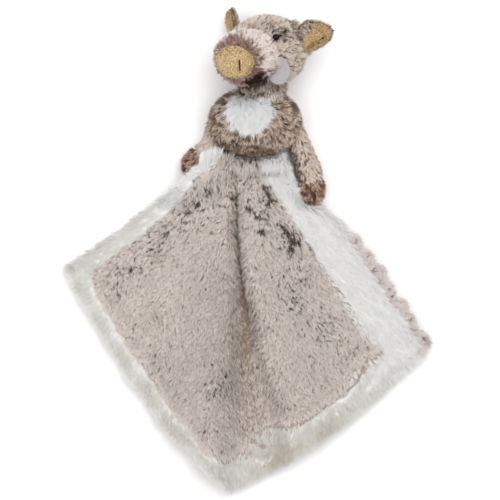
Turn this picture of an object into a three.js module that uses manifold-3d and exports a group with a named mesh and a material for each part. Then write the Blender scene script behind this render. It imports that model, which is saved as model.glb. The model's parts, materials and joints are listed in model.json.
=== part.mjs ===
// A plush comforter: a small stuffed animal with a long snout, whose body is sewn to one corner
// of a square two-layer blanket. It lies on its back on a table, head towards +Y, belly up (+Z).
// Left and right are as seen from above. Lengths are in millimetres.
import * as THREE from 'three';
import { mergeVertices } from 'three/addons/utils/BufferGeometryUtils.js';
import Module from 'manifold-3d';

const wasm = await Module();
wasm.setup();

// Fabric and clearances
const SKIN = 2.4; // plush fabric with its short pile pressed flat
const GAP = 0.3; // between pieces that are sewn or glued together
const PLAY = 0.5; // between pieces that move against each other
const SWING_CLEARANCE = 1.2; // beside an arm that the blanket is lifted past

// Torso
const TORSO_WIDTH = 82;
const TORSO_LENGTH = 61;
const TORSO_DEPTH = 53;
const TORSO_SQUARENESS = 2.15; // 2 is a plain oval
const TORSO_REST = 2; // how deep the back is cut flat
const BELLY_WIDTH = 43;
const BELLY_LENGTH = 33;
const BELLY_RISE = 5; // the white patch sits this far towards the head
const BELLY_SHIFT = -2.6;

// Head
const HEAD_WIDTH = 70;
const HEAD_HEIGHT = 63;
const HEAD_DEPTH = 68;
const HEAD_REST = 0.5; // how deep the back of the head is cut flat
const HEAD_SHIFT = 9.7; // to the right of the torso's middle
const HEAD_YAW = -30; // degrees, the face turned to the left
const HEAD_PITCH = 9; // degrees, the face tipped towards the belly
const NECK_RADIUS = 15;
const NECK_SINK = 2; // how far the two balls would meet inside the neck

// Muzzle, snout and chin
const MUZZLE_WIDTH = 56;
const MUZZLE_HEIGHT = 48;
const MUZZLE_DEPTH = 39;
const MUZZLE_FORWARD = 36; // its middle in front of the head's middle
const MUZZLE_SQUARENESS = 2.6;
const SNOUT_WIDTH = 39;
const SNOUT_HEIGHT = 30.5;
const SNOUT_DEPTH = 14;
const SNOUT_RAISED = 3.4; // proud of the muzzle
const SNOUT_SQUARENESS = 3;
const SNOUT_DROP = 1;
const STITCH_WIDTH = 1.2;
const STITCH_LENGTH = 11;
const STITCH_SHIFT = 2.5;
const CHIN_WIDTH = 30;
const CHIN_THICK = 14;
const CHIN_DEPTH = 27;
const CHIN_SQUARENESS = 2.3;
const CHIN_FORWARD = 27;
const CHIN_DROP = 23;

// Safety eyes with a washer behind the fabric
const EYE_RADIUS = 3.4;
const EYE_POST_RADIUS = 1.5;
const EYE_POST_LENGTH = 8;
const WASHER_RADIUS = 5.5;
const WASHER_THICK = 1.4;
const WASHER_SEAT = 1.1; // room for the round fabric behind the flat washer
const EYE_SIDE = 22.6;
const EYE_UP = 14.8;

// Felt tusks
const TUSK_WIDTH = 21;
const TUSK_LENGTH = 26;
const TUSK_THICK = 3;
const TUSK_SIDE = 25.2;
const TUSK_DROP = 13.6;
const TUSK_FORWARD = 25;
const TUSK_LOOK = [0.62, -0.2, 0.76]; // the way its flat side faces

// Ears
const EAR_WIDTH = 27;
const EAR_LENGTH = 33;
const EAR_ROOT = 6; // how much of the ear's length starts inside the head
const EAR_BACK_THICK = 3.4;
const EAR_LINING_THICK = 2;
const EAR_LINING_MARGIN = 1.8;
const EAR_CUP = 5; // how far the rim curls forward
const EAR_FLOP = 18; // degrees either way
const EAR_EDGE_THIN = 0.6; // share of the thickness lost at the rim
// Each ear's root on the head, the way it points and the way its lining looks, in the head's frame
const EAR_AIMS = {
  right: { root: [33.5, 10.5, 1], along: [0.93, 0.24, -0.28], lining: [0.36, 0.1, 0.93] },
  left: { root: [-31.5, 14.5, -4], along: [-0.12, 0.98, 0], lining: [-0.61, 0.02, 0.79] },
};

// Arms
const SHOULDER_RADIUS = 9.5;
const ELBOW_RADIUS = 9.8;
const PAW_RADIUS = 11.3;
const ARM_FLOOR = 0.3; // clear of the table
const PAW_LENGTH = 21;
const SHOULDER_OUT = 0.82; // share of the torso's half width
const SHOULDER_DOWN = 0.25; // share of its half length
const SHOULDER_HEIGHT = 15;
const ARM_SWING = 45; // degrees away from the body
// Bends of each arm from the shoulder: outward, towards the blanket, and lifted off the table
const ARM_BENDS = {
  right: [[7, 19, 1.5], [13, 35, 0], [15.5, 52.5, 0]],
  left: [[2.5, 12, 0.8], [10, 21, 0], [18.5, 29, 0]],
};

// Blanket
const BACK_THICK = 4;
const CENTRE_THICK = 6.4;
const BORDER_THICK = 7.6;
const BORDER_TOP_LEFT = 19; // visible widths of the four white strips
const BORDER_TOP_RIGHT = 30;
const BORDER_BOTTOM_LEFT = 15;
const BORDER_BOTTOM_RIGHT = 20;
const BACK_SHOWS = 9; // the back layer shows beyond the white strip on the top right side
const EDGE_SHARE = 0.45; // share of the thickness left at a strip's free edge
const CELL = 13; // size of a fabric facet
// Its corners in plan, from the middle of the seam, and how far each side bows out
const CORNER_TOP = [6, 60];
const CORNER_RIGHT = [151, -157];
const CORNER_BOTTOM = [-24, -284];
const CORNER_LEFT = [-166, -86];
const BOW_TOP_LEFT = -9;
const BOW_TOP_RIGHT = 0;
const BOW_BOTTOM_LEFT = 13;
const BOW_BOTTOM_RIGHT = 10;
const TUCK_DEPTH = 20; // how far the top right side is drawn in beside the arm
const TUCK_HALF_LENGTH = 28;
const TUCK_SHARE = 0.2; // share of the blanket's width that is drawn in
// The long pleat: its crease, and how far its crests stand to the left and right of the crease,
// each as a distance down from the seam and a distance to the right of its middle or the crease
const CREASE = [[0, -18], [60, -15], [120, -7.5], [190, 6.5], [290, 13]];
const PLEAT_LEFT = [[0, 12], [60, 13], [120, 21.5], [190, 43], [290, 58]];
const PLEAT_RIGHT = [[0, 12], [120, 13], [190, 14], [290, 27]];
const CREST_TOP = 15; // height of the crests near the body
const CREST_BOTTOM = 12;
const CREST_FALL = 40; // to the side of a crest the cloth comes down over this length
const VALLEY_OPENS = [0.35, 0.75]; // share of the way down over which the crease opens to a valley
const VALLEY_FLOOR = 0.45; // share of the open valley's left half that is its flat floor
const COVER_CLEARANCE = 0.8; // over the arm that lies under the blanket
const COVER_FLAT = 5; // the blanket stays up this far from the arm
const COVER_FALL = 42; // and comes down to the table this far from it

// Seam where the blanket's corner is gathered and sewn to the body
const SEAM_RADIUS = 8;
const SEAM_SIDES = 20;
const SEAM_LENGTH = 52;
const SEAM_HEIGHT = 20;
const SEAM_BELOW = 5; // below the torso's end
const SEAM_SHIFT = 1.7;
const SEAM_EASE = 32; // over this length the blanket leaves the seam's height
const SEAM_NEAR = 60; // sideways, the blanket hangs from the seam up to here
const SEAM_FAR = 95; // and lies free of it from here on

// Larger than the whole toy, for the blocks that it is cut with
const FAR = 500;

const half = (size) => size / 2;
const vec = (x, y, z = 0) => new THREE.Vector3(x, y, z);
const degrees = THREE.MathUtils.degToRad;

// Signed volume tells whether the faces point out
function signedVolume(position, index) {
  const a = vec(0, 0);
  const b = vec(0, 0);
  const c = vec(0, 0);
  let sum = 0;
  for (let i = 0; i < index.count; i += 3) {
    a.fromBufferAttribute(position, index.getX(i));
    b.fromBufferAttribute(position, index.getX(i + 1));
    c.fromBufferAttribute(position, index.getX(i + 2));
    sum += a.dot(b.cross(c)) / 6;
  }
  return sum;
}

// A closed three.js geometry as a solid that can be cut and joined
function toSolid(geometry) {
  const bare = new THREE.BufferGeometry();
  bare.setAttribute('position', geometry.getAttribute('position'));
  bare.setIndex(geometry.getIndex());
  const merged = mergeVertices(bare, 1e-4);
  const triangles = Uint32Array.from(merged.getIndex().array);
  if (signedVolume(merged.getAttribute('position'), merged.getIndex()) < 0) {
    triangles.reverse();
  }
  const vertProperties = Float32Array.from(merged.getAttribute('position').array);
  return new wasm.Manifold(new wasm.Mesh({ numProp: 3, vertProperties, triVerts: triangles }));
}

function toGeometry(solid) {
  const mesh = solid.getMesh();
  const geometry = new THREE.BufferGeometry();
  geometry.setAttribute('position', new THREE.BufferAttribute(Float32Array.from(mesh.vertProperties), 3));
  geometry.setIndex(new THREE.BufferAttribute(Uint32Array.from(mesh.triVerts), 1));
  geometry.computeVertexNormals();
  return geometry;
}

const moved = (solid, matrix) => solid.transform(matrix.elements);
const shifted = (solid, offset) => moved(solid, new THREE.Matrix4().setPosition(offset));

// Facets round and along a rounded piece: what shows, what lies inside, and small pieces
const OUTER = [22, 12];
const INNER = [16, 10];
const SMALL = [14, 8];

// A ball with three diameters; a squareness above 2 gives it fuller shoulders. Poles on Z.
function ball(width, length, depth, grow = 0, squareness = 2, [sides, rings] = SMALL) {
  const geometry = new THREE.SphereGeometry(1, sides, rings);
  geometry.rotateX(Math.PI / 2);
  const position = geometry.getAttribute('position');
  const power = 2 / squareness;
  for (let i = 0; i < position.count; i += 1) {
    const x = position.getX(i);
    const y = position.getY(i);
    const z = position.getZ(i);
    const reach = Math.hypot(x, y);
    const spread = reach > 1e-9 ? reach ** power / reach : 0;
    position.setXYZ(
      i,
      x * spread * (half(width) + grow),
      y * spread * (half(length) + grow),
      Math.sign(z) * Math.abs(z) ** power * (half(depth) + grow),
    );
  }
  return toSolid(geometry);
}

// A cylinder with its axis on Z, from one height to another
function rod(radius, from, to, sides = 16) {
  const geometry = new THREE.CylinderGeometry(radius, radius, to - from, sides);
  geometry.rotateX(Math.PI / 2);
  geometry.translate(0, 0, half(from + to));
  return toSolid(geometry);
}

function box(from, to) {
  const size = to.clone().sub(from);
  const geometry = new THREE.BoxGeometry(size.x, size.y, size.z);
  geometry.translate(half(from.x + to.x), half(from.y + to.y), half(from.z + to.z));
  return toSolid(geometry);
}

// Closed skin over rings of points, with a pole at each end
function loft(rings, startPole, endPole) {
  const sides = rings[0].length;
  const points = [...rings.flat(), startPole, endPole];
  const start = points.length - 2;
  const end = points.length - 1;
  const index = [];
  for (let side = 0; side < sides; side += 1) {
    const next = (side + 1) % sides;
    for (let ring = 0; ring < rings.length - 1; ring += 1) {
      const low = ring * sides;
      const high = low + sides;
      index.push(low + side, low + next, high + next);
      index.push(low + side, high + next, high + side);
    }
    const last = (rings.length - 1) * sides;
    index.push(start, next, side);
    index.push(end, last + side, last + next);
  }
  const geometry = new THREE.BufferGeometry().setFromPoints(points);
  geometry.setIndex(index);
  return toSolid(geometry);
}

// A round limb along a curve, with its radius given at each point and round ends
function limb(centres, radii, grow = 0, sides = 12, steps = 7) {
  const capSteps = 3;
  const curve = new THREE.CatmullRomCurve3(centres);
  const frames = curve.computeFrenetFrames(steps, false);
  const rings = [];
  const addRing = (centre, frame, radius) => {
    const ring = [];
    for (let side = 0; side < sides; side += 1) {
      const angle = (2 * Math.PI * side) / sides;
      ring.push(
        centre
          .clone()
          .addScaledVector(frames.normals[frame], Math.cos(angle) * radius)
          .addScaledVector(frames.binormals[frame], Math.sin(angle) * radius),
      );
    }
    rings.push(ring);
  };
  const radiusAt = (share) => {
    const spot = share * (radii.length - 1);
    const before = Math.min(Math.floor(spot), radii.length - 2);
    return THREE.MathUtils.lerp(radii[before], radii[before + 1], spot - before) + grow;
  };
  const first = curve.getPointAt(0);
  const last = curve.getPointAt(1);
  for (let cap = capSteps - 1; cap > 0; cap -= 1) {
    const angle = half(Math.PI) * (cap / capSteps);
    const centre = first.clone().addScaledVector(frames.tangents[0], -Math.sin(angle) * radiusAt(0));
    addRing(centre, 0, Math.cos(angle) * radiusAt(0));
  }
  for (let step = 0; step <= steps; step += 1) {
    addRing(curve.getPointAt(step / steps), step, radiusAt(step / steps));
  }
  for (let cap = 1; cap < capSteps; cap += 1) {
    const angle = half(Math.PI) * (cap / capSteps);
    const centre = last.clone().addScaledVector(frames.tangents[steps], Math.sin(angle) * radiusAt(1));
    addRing(centre, steps, Math.cos(angle) * radiusAt(1));
  }
  const startPole = first.clone().addScaledVector(frames.tangents[0], -radiusAt(0));
  const endPole = last.clone().addScaledVector(frames.tangents[steps], radiusAt(1));
  return loft(rings, startPole, endPole);
}

// An oval pad round the origin between two height functions
function ovalPad(halfWidth, halfLength, low, high, sides = 20, rings = 3) {
  const points = [];
  const index = [];
  const layer = (height) => {
    const start = points.length;
    points.push(vec(0, 0, height(0, 0)));
    for (let ring = 1; ring <= rings; ring += 1) {
      for (let side = 0; side < sides; side += 1) {
        const angle = (2 * Math.PI * side) / sides;
        const x = (Math.cos(angle) * halfWidth * ring) / rings;
        const y = (Math.sin(angle) * halfLength * ring) / rings;
        points.push(vec(x, y, height(x, y)));
      }
    }
    return start;
  };
  const top = layer(high);
  const bottom = layer(low);
  const at = (start, ring, side) => start + 1 + (ring - 1) * sides + (side % sides);
  for (let side = 0; side < sides; side += 1) {
    const next = side + 1;
    index.push(top, at(top, 1, side), at(top, 1, next));
    index.push(bottom, at(bottom, 1, next), at(bottom, 1, side));
    for (let ring = 1; ring < rings; ring += 1) {
      index.push(at(top, ring, side), at(top, ring + 1, side), at(top, ring + 1, next));
      index.push(at(top, ring, side), at(top, ring + 1, next), at(top, ring, next));
      index.push(at(bottom, ring, side), at(bottom, ring + 1, next), at(bottom, ring + 1, side));
      index.push(at(bottom, ring, side), at(bottom, ring, next), at(bottom, ring + 1, next));
    }
    index.push(at(top, rings, side), at(bottom, rings, side), at(bottom, rings, next));
    index.push(at(top, rings, side), at(bottom, rings, next), at(top, rings, next));
  }
  const geometry = new THREE.BufferGeometry().setFromPoints(points);
  geometry.setIndex(index);
  return toSolid(geometry);
}

// What a solid sweeps while it turns about a line, as a joined set of its places
function sweep(solid, pivot, axis, from, to, steps) {
  let whole = null;
  for (let step = 0; step <= steps; step += 1) {
    const angle = degrees(THREE.MathUtils.lerp(from, to, step / steps));
    const turn = new THREE.Matrix4()
      .makeTranslation(pivot.x, pivot.y, pivot.z)
      .multiply(new THREE.Matrix4().makeRotationAxis(axis, angle))
      .multiply(new THREE.Matrix4().makeTranslation(-pivot.x, -pivot.y, -pivot.z));
    const place = moved(solid, turn);
    whole = whole ? whole.add(place) : place;
  }
  return whole;
}

// Places of the main pieces, measured from the middle of the torso in plan and from the table
const torsoCentre = vec(0, 0, half(TORSO_DEPTH) - TORSO_REST);
const headCentre = vec(
  HEAD_SHIFT,
  half(TORSO_LENGTH) + half(HEAD_HEIGHT) - NECK_SINK,
  half(HEAD_DEPTH) - HEAD_REST,
);
const neckCentre = vec(HEAD_SHIFT, half(TORSO_LENGTH) - half(NECK_SINK), headCentre.z);
const seamCentre = vec(SEAM_SHIFT, -half(TORSO_LENGTH) - SEAM_BELOW, SEAM_HEIGHT);
const headTurn = new THREE.Matrix4()
  .makeRotationY(degrees(HEAD_YAW))
  .multiply(new THREE.Matrix4().makeRotationX(degrees(HEAD_PITCH)));
const headPlace = headTurn.clone().setPosition(headCentre);
const headPlaceBack = headPlace.clone().invert();

const table = box(vec(-FAR, -FAR, -FAR), vec(FAR, FAR, 0));
const round = (radius, grow, facets) => ball(2 * radius, 2 * radius, 2 * radius, grow, 2, facets);
const neckBall = (grow) => shifted(round(NECK_RADIUS, grow, OUTER), neckCentre);

// Arms: the right one hangs beside the blanket, the left one is bent under the blanket's edge
const armRadii = [SHOULDER_RADIUS, ELBOW_RADIUS, PAW_RADIUS, PAW_RADIUS];
const lying = (radius) => radius + ARM_FLOOR;

function armPath(side, sign) {
  const shoulder = vec(
    sign * half(TORSO_WIDTH) * SHOULDER_OUT,
    -half(TORSO_LENGTH) * SHOULDER_DOWN,
    SHOULDER_HEIGHT,
  );
  const bends = ARM_BENDS[side].map(([out, down, lift], i) => vec(
    shoulder.x + sign * out,
    shoulder.y - down,
    lying(armRadii[i + 1]) + lift,
  ));
  return [shoulder, ...bends];
}

const armPaths = { right: armPath('right', 1), left: armPath('left', -1) };
const armSolid = (side, grow) => limb(armPaths[side], armRadii, grow);

function torsoBall(grow, facets = OUTER) {
  const whole = ball(TORSO_WIDTH, TORSO_LENGTH, TORSO_DEPTH, grow, TORSO_SQUARENESS, facets);
  return shifted(whole, torsoCentre);
}

const shoulderBall = (side, grow) => shifted(round(SHOULDER_RADIUS, grow, SMALL), armPaths[side][0]);

function bellyColumn(grow) {
  const column = ovalPad(
    half(BELLY_WIDTH) + grow,
    half(BELLY_LENGTH) + grow,
    () => torsoCentre.z,
    () => TORSO_DEPTH + SKIN,
    24,
    1,
  );
  return shifted(column, vec(BELLY_SHIFT, BELLY_RISE));
}

function makeTorso() {
  const sockets = neckBall(PLAY).add(shoulderBall('left', PLAY)).add(shoulderBall('right', PLAY));
  const above = (height) => box(vec(-FAR, -FAR, height), vec(FAR, FAR, FAR));
  const shell = torsoBall(0).subtract(table).subtract(torsoBall(-SKIN, INNER).intersect(above(SKIN)));
  const filling = torsoBall(-SKIN - GAP, INNER).intersect(above(SKIN + GAP));
  return {
    torso_skin: shell.subtract(sockets).subtract(bellyColumn(half(GAP))),
    belly_patch: shell.subtract(sockets).intersect(bellyColumn(-half(GAP))),
    torso_stuffing: filling.subtract(sockets),
  };
}

// The gathered corner of the blanket, rolled and sewn under the torso
function makeSeam() {
  const roll = rod(SEAM_RADIUS, -half(SEAM_LENGTH), half(SEAM_LENGTH), SEAM_SIDES);
  const across = new THREE.Matrix4().makeRotationY(half(Math.PI)).setPosition(seamCentre);
  return moved(roll, across).subtract(torsoBall(GAP));
}

// Head pieces, in the head's own frame: X to its side, Y up to the crown, Z along the snout
const headBall = (grow, facets = OUTER) => ball(HEAD_WIDTH, HEAD_HEIGHT, HEAD_DEPTH, grow, 2, facets);

function muzzleBall(grow, facets = OUTER) {
  const whole = ball(MUZZLE_WIDTH, MUZZLE_HEIGHT, MUZZLE_DEPTH, grow, MUZZLE_SQUARENESS, facets);
  return shifted(whole, vec(0, 0, MUZZLE_FORWARD));
}

// Where a straight line from the head's middle through a side and height leaves the head
function onHead(side, up) {
  const flat = (side / half(HEAD_WIDTH)) ** 2 + (up / half(HEAD_HEIGHT)) ** 2;
  return vec(side, up, half(HEAD_DEPTH) * Math.sqrt(Math.max(0.05, 1 - flat)));
}

function facing(point, direction) {
  const turn = new THREE.Quaternion().setFromUnitVectors(vec(0, 0, 1), direction.clone().normalize());
  return new THREE.Matrix4().makeRotationFromQuaternion(turn).setPosition(point);
}

function eyePlace(side) {
  const spot = onHead(side * EYE_SIDE, EYE_UP);
  const outward = vec(
    spot.x / half(HEAD_WIDTH) ** 2,
    spot.y / half(HEAD_HEIGHT) ** 2,
    spot.z / half(HEAD_DEPTH) ** 2,
  );
  return facing(spot, outward);
}

function makeEye(side) {
  const dome = round(EYE_RADIUS, 0, SMALL).intersect(box(vec(-FAR, -FAR, GAP), vec(FAR, FAR, FAR)));
  const post = rod(EYE_POST_RADIUS, -EYE_POST_LENGTH, 2 * GAP, 8);
  return moved(dome.add(post), eyePlace(side));
}

// The washer is flat and the fabric round, so the washer lies a little deeper
const washerFront = -SKIN - WASHER_SEAT - WASHER_RADIUS ** 2 / HEAD_HEIGHT;
const washerBack = washerFront - WASHER_THICK;

function makeWasher(side) {
  const disc = rod(WASHER_RADIUS, washerBack, washerFront, 12);
  return moved(disc.subtract(rod(EYE_POST_RADIUS + GAP, washerBack - 1, 1, 8)), eyePlace(side));
}

function eyePocket(side) {
  const room = rod(WASHER_RADIUS + GAP, washerBack - GAP, 0, 12);
  return moved(room.add(rod(EYE_POST_RADIUS + GAP, -EYE_POST_LENGTH - GAP, 1, 8)), eyePlace(side));
}

function eyeHole(side) {
  return moved(rod(EYE_POST_RADIUS + GAP, washerBack, 2, 8), eyePlace(side));
}

function snoutBall(grow) {
  const reach = MUZZLE_FORWARD + half(MUZZLE_DEPTH) + SNOUT_RAISED;
  const whole = ball(SNOUT_WIDTH, SNOUT_HEIGHT, SNOUT_DEPTH, grow, SNOUT_SQUARENESS, [20, 8]);
  return shifted(whole, vec(0, -SNOUT_DROP, reach - half(SNOUT_DEPTH)));
}

// The stitched line down the snout, a thread laid in a groove
function stitchLine(grow) {
  const front = MUZZLE_FORWARD + half(MUZZLE_DEPTH) + SNOUT_RAISED;
  const line = ball(STITCH_WIDTH, STITCH_LENGTH, 3 * STITCH_WIDTH, grow, 3, [8, 6]);
  return shifted(line, vec(STITCH_SHIFT, -half(STITCH_LENGTH) - SNOUT_DROP, front - STITCH_WIDTH));
}

function makeTusk(side) {
  const felt = ball(TUSK_WIDTH, TUSK_LENGTH, TUSK_THICK, 0, 3, [18, 6]);
  const [lookSide, lookUp, lookForward] = TUSK_LOOK;
  const look = vec(side * lookSide, lookUp, lookForward);
  const place = facing(vec(side * TUSK_SIDE, -TUSK_DROP, TUSK_FORWARD), look);
  return moved(felt, place).subtract(headBall(GAP)).subtract(muzzleBall(GAP));
}

function makeHead() {
  const neckRoom = moved(neckBall(PLAY), headPlaceBack);
  const tableHere = moved(table, headPlaceBack);
  const shell = headBall(0).subtract(headBall(-SKIN, INNER));
  const eyeRoom = eyePocket(1).add(eyePocket(-1));
  const chinSolid = shifted(
    ball(CHIN_WIDTH, CHIN_THICK, CHIN_DEPTH, 0, CHIN_SQUARENESS, INNER),
    vec(0, -CHIN_DROP, CHIN_FORWARD),
  );
  const muzzleShell = muzzleBall(0).subtract(muzzleBall(-SKIN, INNER));
  const tusks = makeTusk(1).add(makeTusk(-1));
  return {
    head_skin: shell.subtract(neckRoom).subtract(eyeHole(1)).subtract(eyeHole(-1)).subtract(tableHere),
    head_stuffing: headBall(-SKIN - GAP, INNER).subtract(neckRoom).subtract(eyeRoom),
    muzzle_skin: muzzleShell.subtract(headBall(GAP)),
    muzzle_stuffing: muzzleBall(-SKIN - GAP, INNER).subtract(headBall(GAP)),
    snout_pad: snoutBall(0).subtract(muzzleBall(GAP)).subtract(stitchLine(GAP)),
    snout_stitch: stitchLine(0).subtract(muzzleBall(GAP)),
    chin: chinSolid.subtract(muzzleBall(GAP)).subtract(headBall(GAP)).subtract(neckRoom).subtract(tusks),
    eye_left: makeEye(-1),
    eye_right: makeEye(1),
    eye_washer_left: makeWasher(-1),
    eye_washer_right: makeWasher(1),
    tusk_left: makeTusk(-1),
    tusk_right: makeTusk(1),
  };
}

// An ear in its own frame: root at the origin, tip on +Y, lining on +Z, hinge along X
const earMiddle = half(EAR_LENGTH) - EAR_ROOT;

function earCup(x, y) {
  return EAR_CUP * (x / half(EAR_WIDTH)) ** 2 + half(EAR_CUP) * (y / half(EAR_LENGTH)) ** 2;
}

function earLayer(margin, low, high) {
  const wide = half(EAR_WIDTH) - margin;
  const long = half(EAR_LENGTH) - margin;
  const slim = (x, y) => 1 - EAR_EDGE_THIN * Math.min(1, (x / wide) ** 2 + (y / long) ** 2) ** 2;
  const middle = half(low + high);
  const thick = high - low;
  const pad = ovalPad(
    wide,
    long,
    (x, y) => earCup(x, y) + middle - half(thick) * slim(x, y),
    (x, y) => earCup(x, y) + middle + half(thick) * slim(x, y),
    18,
    3,
  );
  return shifted(pad, vec(0, earMiddle));
}

function earPlace(side) {
  const aim = EAR_AIMS[side];
  const y = vec(...aim.along).normalize();
  const x = y.clone().cross(vec(...aim.lining)).normalize();
  const z = x.clone().cross(y);
  return new THREE.Matrix4().makeBasis(x, y, z).setPosition(vec(...aim.root));
}

function makeEar(side) {
  const place = earPlace(side);
  const head = moved(headBall(PLAY), place.clone().invert());
  const room = sweep(head, vec(0, 0), vec(1, 0, 0), -EAR_FLOP, EAR_FLOP, 2);
  const lining = earLayer(EAR_LINING_MARGIN, half(GAP), half(GAP) + EAR_LINING_THICK).subtract(room);
  const back = earLayer(0, -half(GAP) - EAR_BACK_THICK, -half(GAP)).subtract(room);
  return { back, lining };
}

// An arm: fabric tube, paw sewn to its end, one filling through both
function makeArm(side) {
  const path = armPaths[side];
  const last = path[path.length - 1];
  const outward = last.clone().sub(path[path.length - 2]).normalize();
  const cutAt = last.clone().addScaledVector(outward, PAW_RADIUS - PAW_LENGTH);
  const end = facing(cutAt, outward);
  const beyond = moved(box(vec(-FAR, -FAR, half(GAP)), vec(FAR, FAR, FAR)), end);
  const before = moved(box(vec(-FAR, -FAR, -FAR), vec(FAR, FAR, -half(GAP))), end);
  // The torso cuts the arm at both ends of its swing, apart from the round top in its pocket
  const axis = vec(0, 0, Math.sign(path[0].x));
  const room = (grow) => sweep(torsoBall(grow), path[0], axis, 0, -ARM_SWING, 1);
  const layer = (inward) => armSolid(side, -inward)
    .subtract(room(PLAY + inward).subtract(shoulderBall(side, -inward)));
  const shell = layer(0).subtract(layer(SKIN));
  return {
    skin: shell.intersect(before),
    paw: shell.intersect(beyond),
    stuffing: layer(SKIN + GAP),
  };
}

// Blanket outline: four corners from the seam's middle, joined by gently bowed sides
const corners = {
  top: vec(...CORNER_TOP),
  right: vec(...CORNER_RIGHT),
  bottom: vec(...CORNER_BOTTOM),
  left: vec(...CORNER_LEFT),
};

function bowedSide(from, to, bow, share) {
  const along = to.clone().sub(from);
  const length = along.length();
  const outward = vec(-along.y / length, along.x / length);
  const middle = corners.top.clone().add(corners.bottom).multiplyScalar(0.5);
  if (outward.dot(from.clone().sub(middle)) < 0) outward.negate();
  return from.clone().addScaledVector(along, share).addScaledVector(outward, bow * 4 * share * (1 - share));
}

// Plan position of a spot on the cloth: u runs from the top corner to the right, v to the left
function planAt(u, v) {
  const topRight = bowedSide(corners.top, corners.right, BOW_TOP_RIGHT, u);
  const bottomLeft = bowedSide(corners.left, corners.bottom, BOW_BOTTOM_LEFT, u);
  const topLeft = bowedSide(corners.top, corners.left, BOW_TOP_LEFT, v);
  const bottomRight = bowedSide(corners.right, corners.bottom, BOW_BOTTOM_RIGHT, v);
  const spot = topRight.multiplyScalar(1 - v).addScaledVector(bottomLeft, v);
  spot.addScaledVector(topLeft, 1 - u).addScaledVector(bottomRight, u);
  spot.addScaledVector(corners.top, -(1 - u) * (1 - v)).addScaledVector(corners.right, -u * (1 - v));
  spot.addScaledVector(corners.left, -(1 - u) * v).addScaledVector(corners.bottom, -u * v);
  spot.x += seamCentre.x;
  spot.y += seamCentre.y;
  const paw = armPaths.right[3];
  const beside = (spot.y - paw.y - half(PAW_RADIUS)) / TUCK_HALF_LENGTH;
  const nearSide = Math.max(0, 1 - v / TUCK_SHARE);
  spot.x -= TUCK_DEPTH * Math.exp(-beside * beside) * nearSide;
  return spot;
}

const smooth = (from, to, value) => THREE.MathUtils.smoothstep(value, from, to);

// Distance in plan from a spot to the forearm that lies under the blanket
function distanceToCoveredArm(x, y) {
  const spot = vec(x, y);
  let least = Infinity;
  for (let i = 1; i < armPaths.left.length; i += 1) {
    const from = armPaths.left[i - 1].clone().setZ(0);
    const to = armPaths.left[i].clone().setZ(0);
    const nearest = new THREE.Line3(from, to).closestPointToPoint(spot, true, vec(0, 0));
    least = Math.min(least, nearest.distanceTo(spot));
  }
  return least - PAW_RADIUS;
}

const blanketLength = corners.top.y - corners.bottom.y;
const layersThick = BACK_THICK + GAP + CENTRE_THICK;
const seamLevel = SEAM_HEIGHT - half(layersThick);
const coverLevel = 2 * PAW_RADIUS + ARM_FLOOR + COVER_CLEARANCE;

// Value at a distance down the blanket, on straight lines between the given points
function traced(points, down) {
  const last = points.length - 1;
  const next = points.findIndex(([distance]) => distance > down);
  if (next === 0) return points[0][1];
  if (next < 0) return points[last][1];
  const [from, to] = [points[next - 1], points[next]];
  return THREE.MathUtils.mapLinear(down, from[0], to[0], from[1], to[1]);
}

// Height of the long pleat: a soft slope down to the crease and a steeper one up from it
function pleatHeight(x, down, share) {
  const fromCrease = x - seamCentre.x - traced(CREASE, down);
  const leftWidth = traced(PLEAT_LEFT, down);
  const rightWidth = traced(PLEAT_RIGHT, down);
  const opened = smooth(...VALLEY_OPENS, share);
  const fall = (past) => Math.exp(-((Math.max(0, past) / CREST_FALL) ** 2));
  const crest = THREE.MathUtils.lerp(CREST_TOP, CREST_BOTTOM, share);
  if (fromCrease < 0) {
    const soft = smooth(VALLEY_FLOOR * opened, 1, -fromCrease / leftWidth);
    return crest * soft * fall(-fromCrease - leftWidth);
  }
  const part = Math.min(1, fromCrease / rightWidth);
  const steep = THREE.MathUtils.lerp(1 - (1 - part) ** 3, smooth(0, 1, part), opened);
  return crest * steep * fall(fromCrease - rightWidth);
}

// Height of the blanket's underside over the table
function foldHeight(x, y) {
  const down = seamCentre.y - y;
  const share = THREE.MathUtils.clamp(down / (blanketLength - corners.top.y), 0, 1);
  const folds = pleatHeight(x, down, share);
  const eased = THREE.MathUtils.lerp(seamLevel, folds, smooth(0, SEAM_EASE, down));
  const awayFromSeam = smooth(SEAM_NEAR, SEAM_FAR, Math.abs(x - seamCentre.x));
  const hung = THREE.MathUtils.lerp(eased, folds, awayFromSeam);
  const cover = coverLevel * (1 - smooth(COVER_FLAT, COVER_FALL, distanceToCoveredArm(x, y)));
  return Math.max(hung, cover);
}

// Lines of the cloth's facets, with one on each edge of the strips
function facetLines(length, stops) {
  const lines = [0];
  for (let i = 1; i < stops.length; i += 1) {
    const from = stops[i - 1] / length;
    const to = stops[i] / length;
    const count = Math.max(1, Math.round((stops[i] - stops[i - 1]) / CELL));
    for (let step = 1; step <= count; step += 1) {
      lines.push(THREE.MathUtils.lerp(from, to, step / count));
    }
  }
  return lines;
}

const sideU = corners.top.distanceTo(corners.right);
const sideV = corners.top.distanceTo(corners.left);
const stopsU = [0, BORDER_TOP_LEFT, sideU - BORDER_BOTTOM_RIGHT, sideU];
const stopsV = [0, BACK_SHOWS, BACK_SHOWS + BORDER_TOP_RIGHT, sideV - BORDER_BOTTOM_LEFT, sideV];
const linesU = facetLines(sideU, stopsU);
const linesV = facetLines(sideV, stopsV);
const lineAt = (lines, share) => lines.findIndex((line) => Math.abs(line - share) < 1e-6);
const innerLeft = lineAt(linesU, stopsU[1] / sideU);
const innerRight = lineAt(linesU, stopsU[2] / sideU);
const frontTop = lineAt(linesV, stopsV[1] / sideV);
const innerTop = lineAt(linesV, stopsV[2] / sideV);
const innerBottom = lineAt(linesV, stopsV[3] / sideV);
const lastU = linesU.length - 1;
const lastV = linesV.length - 1;

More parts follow.
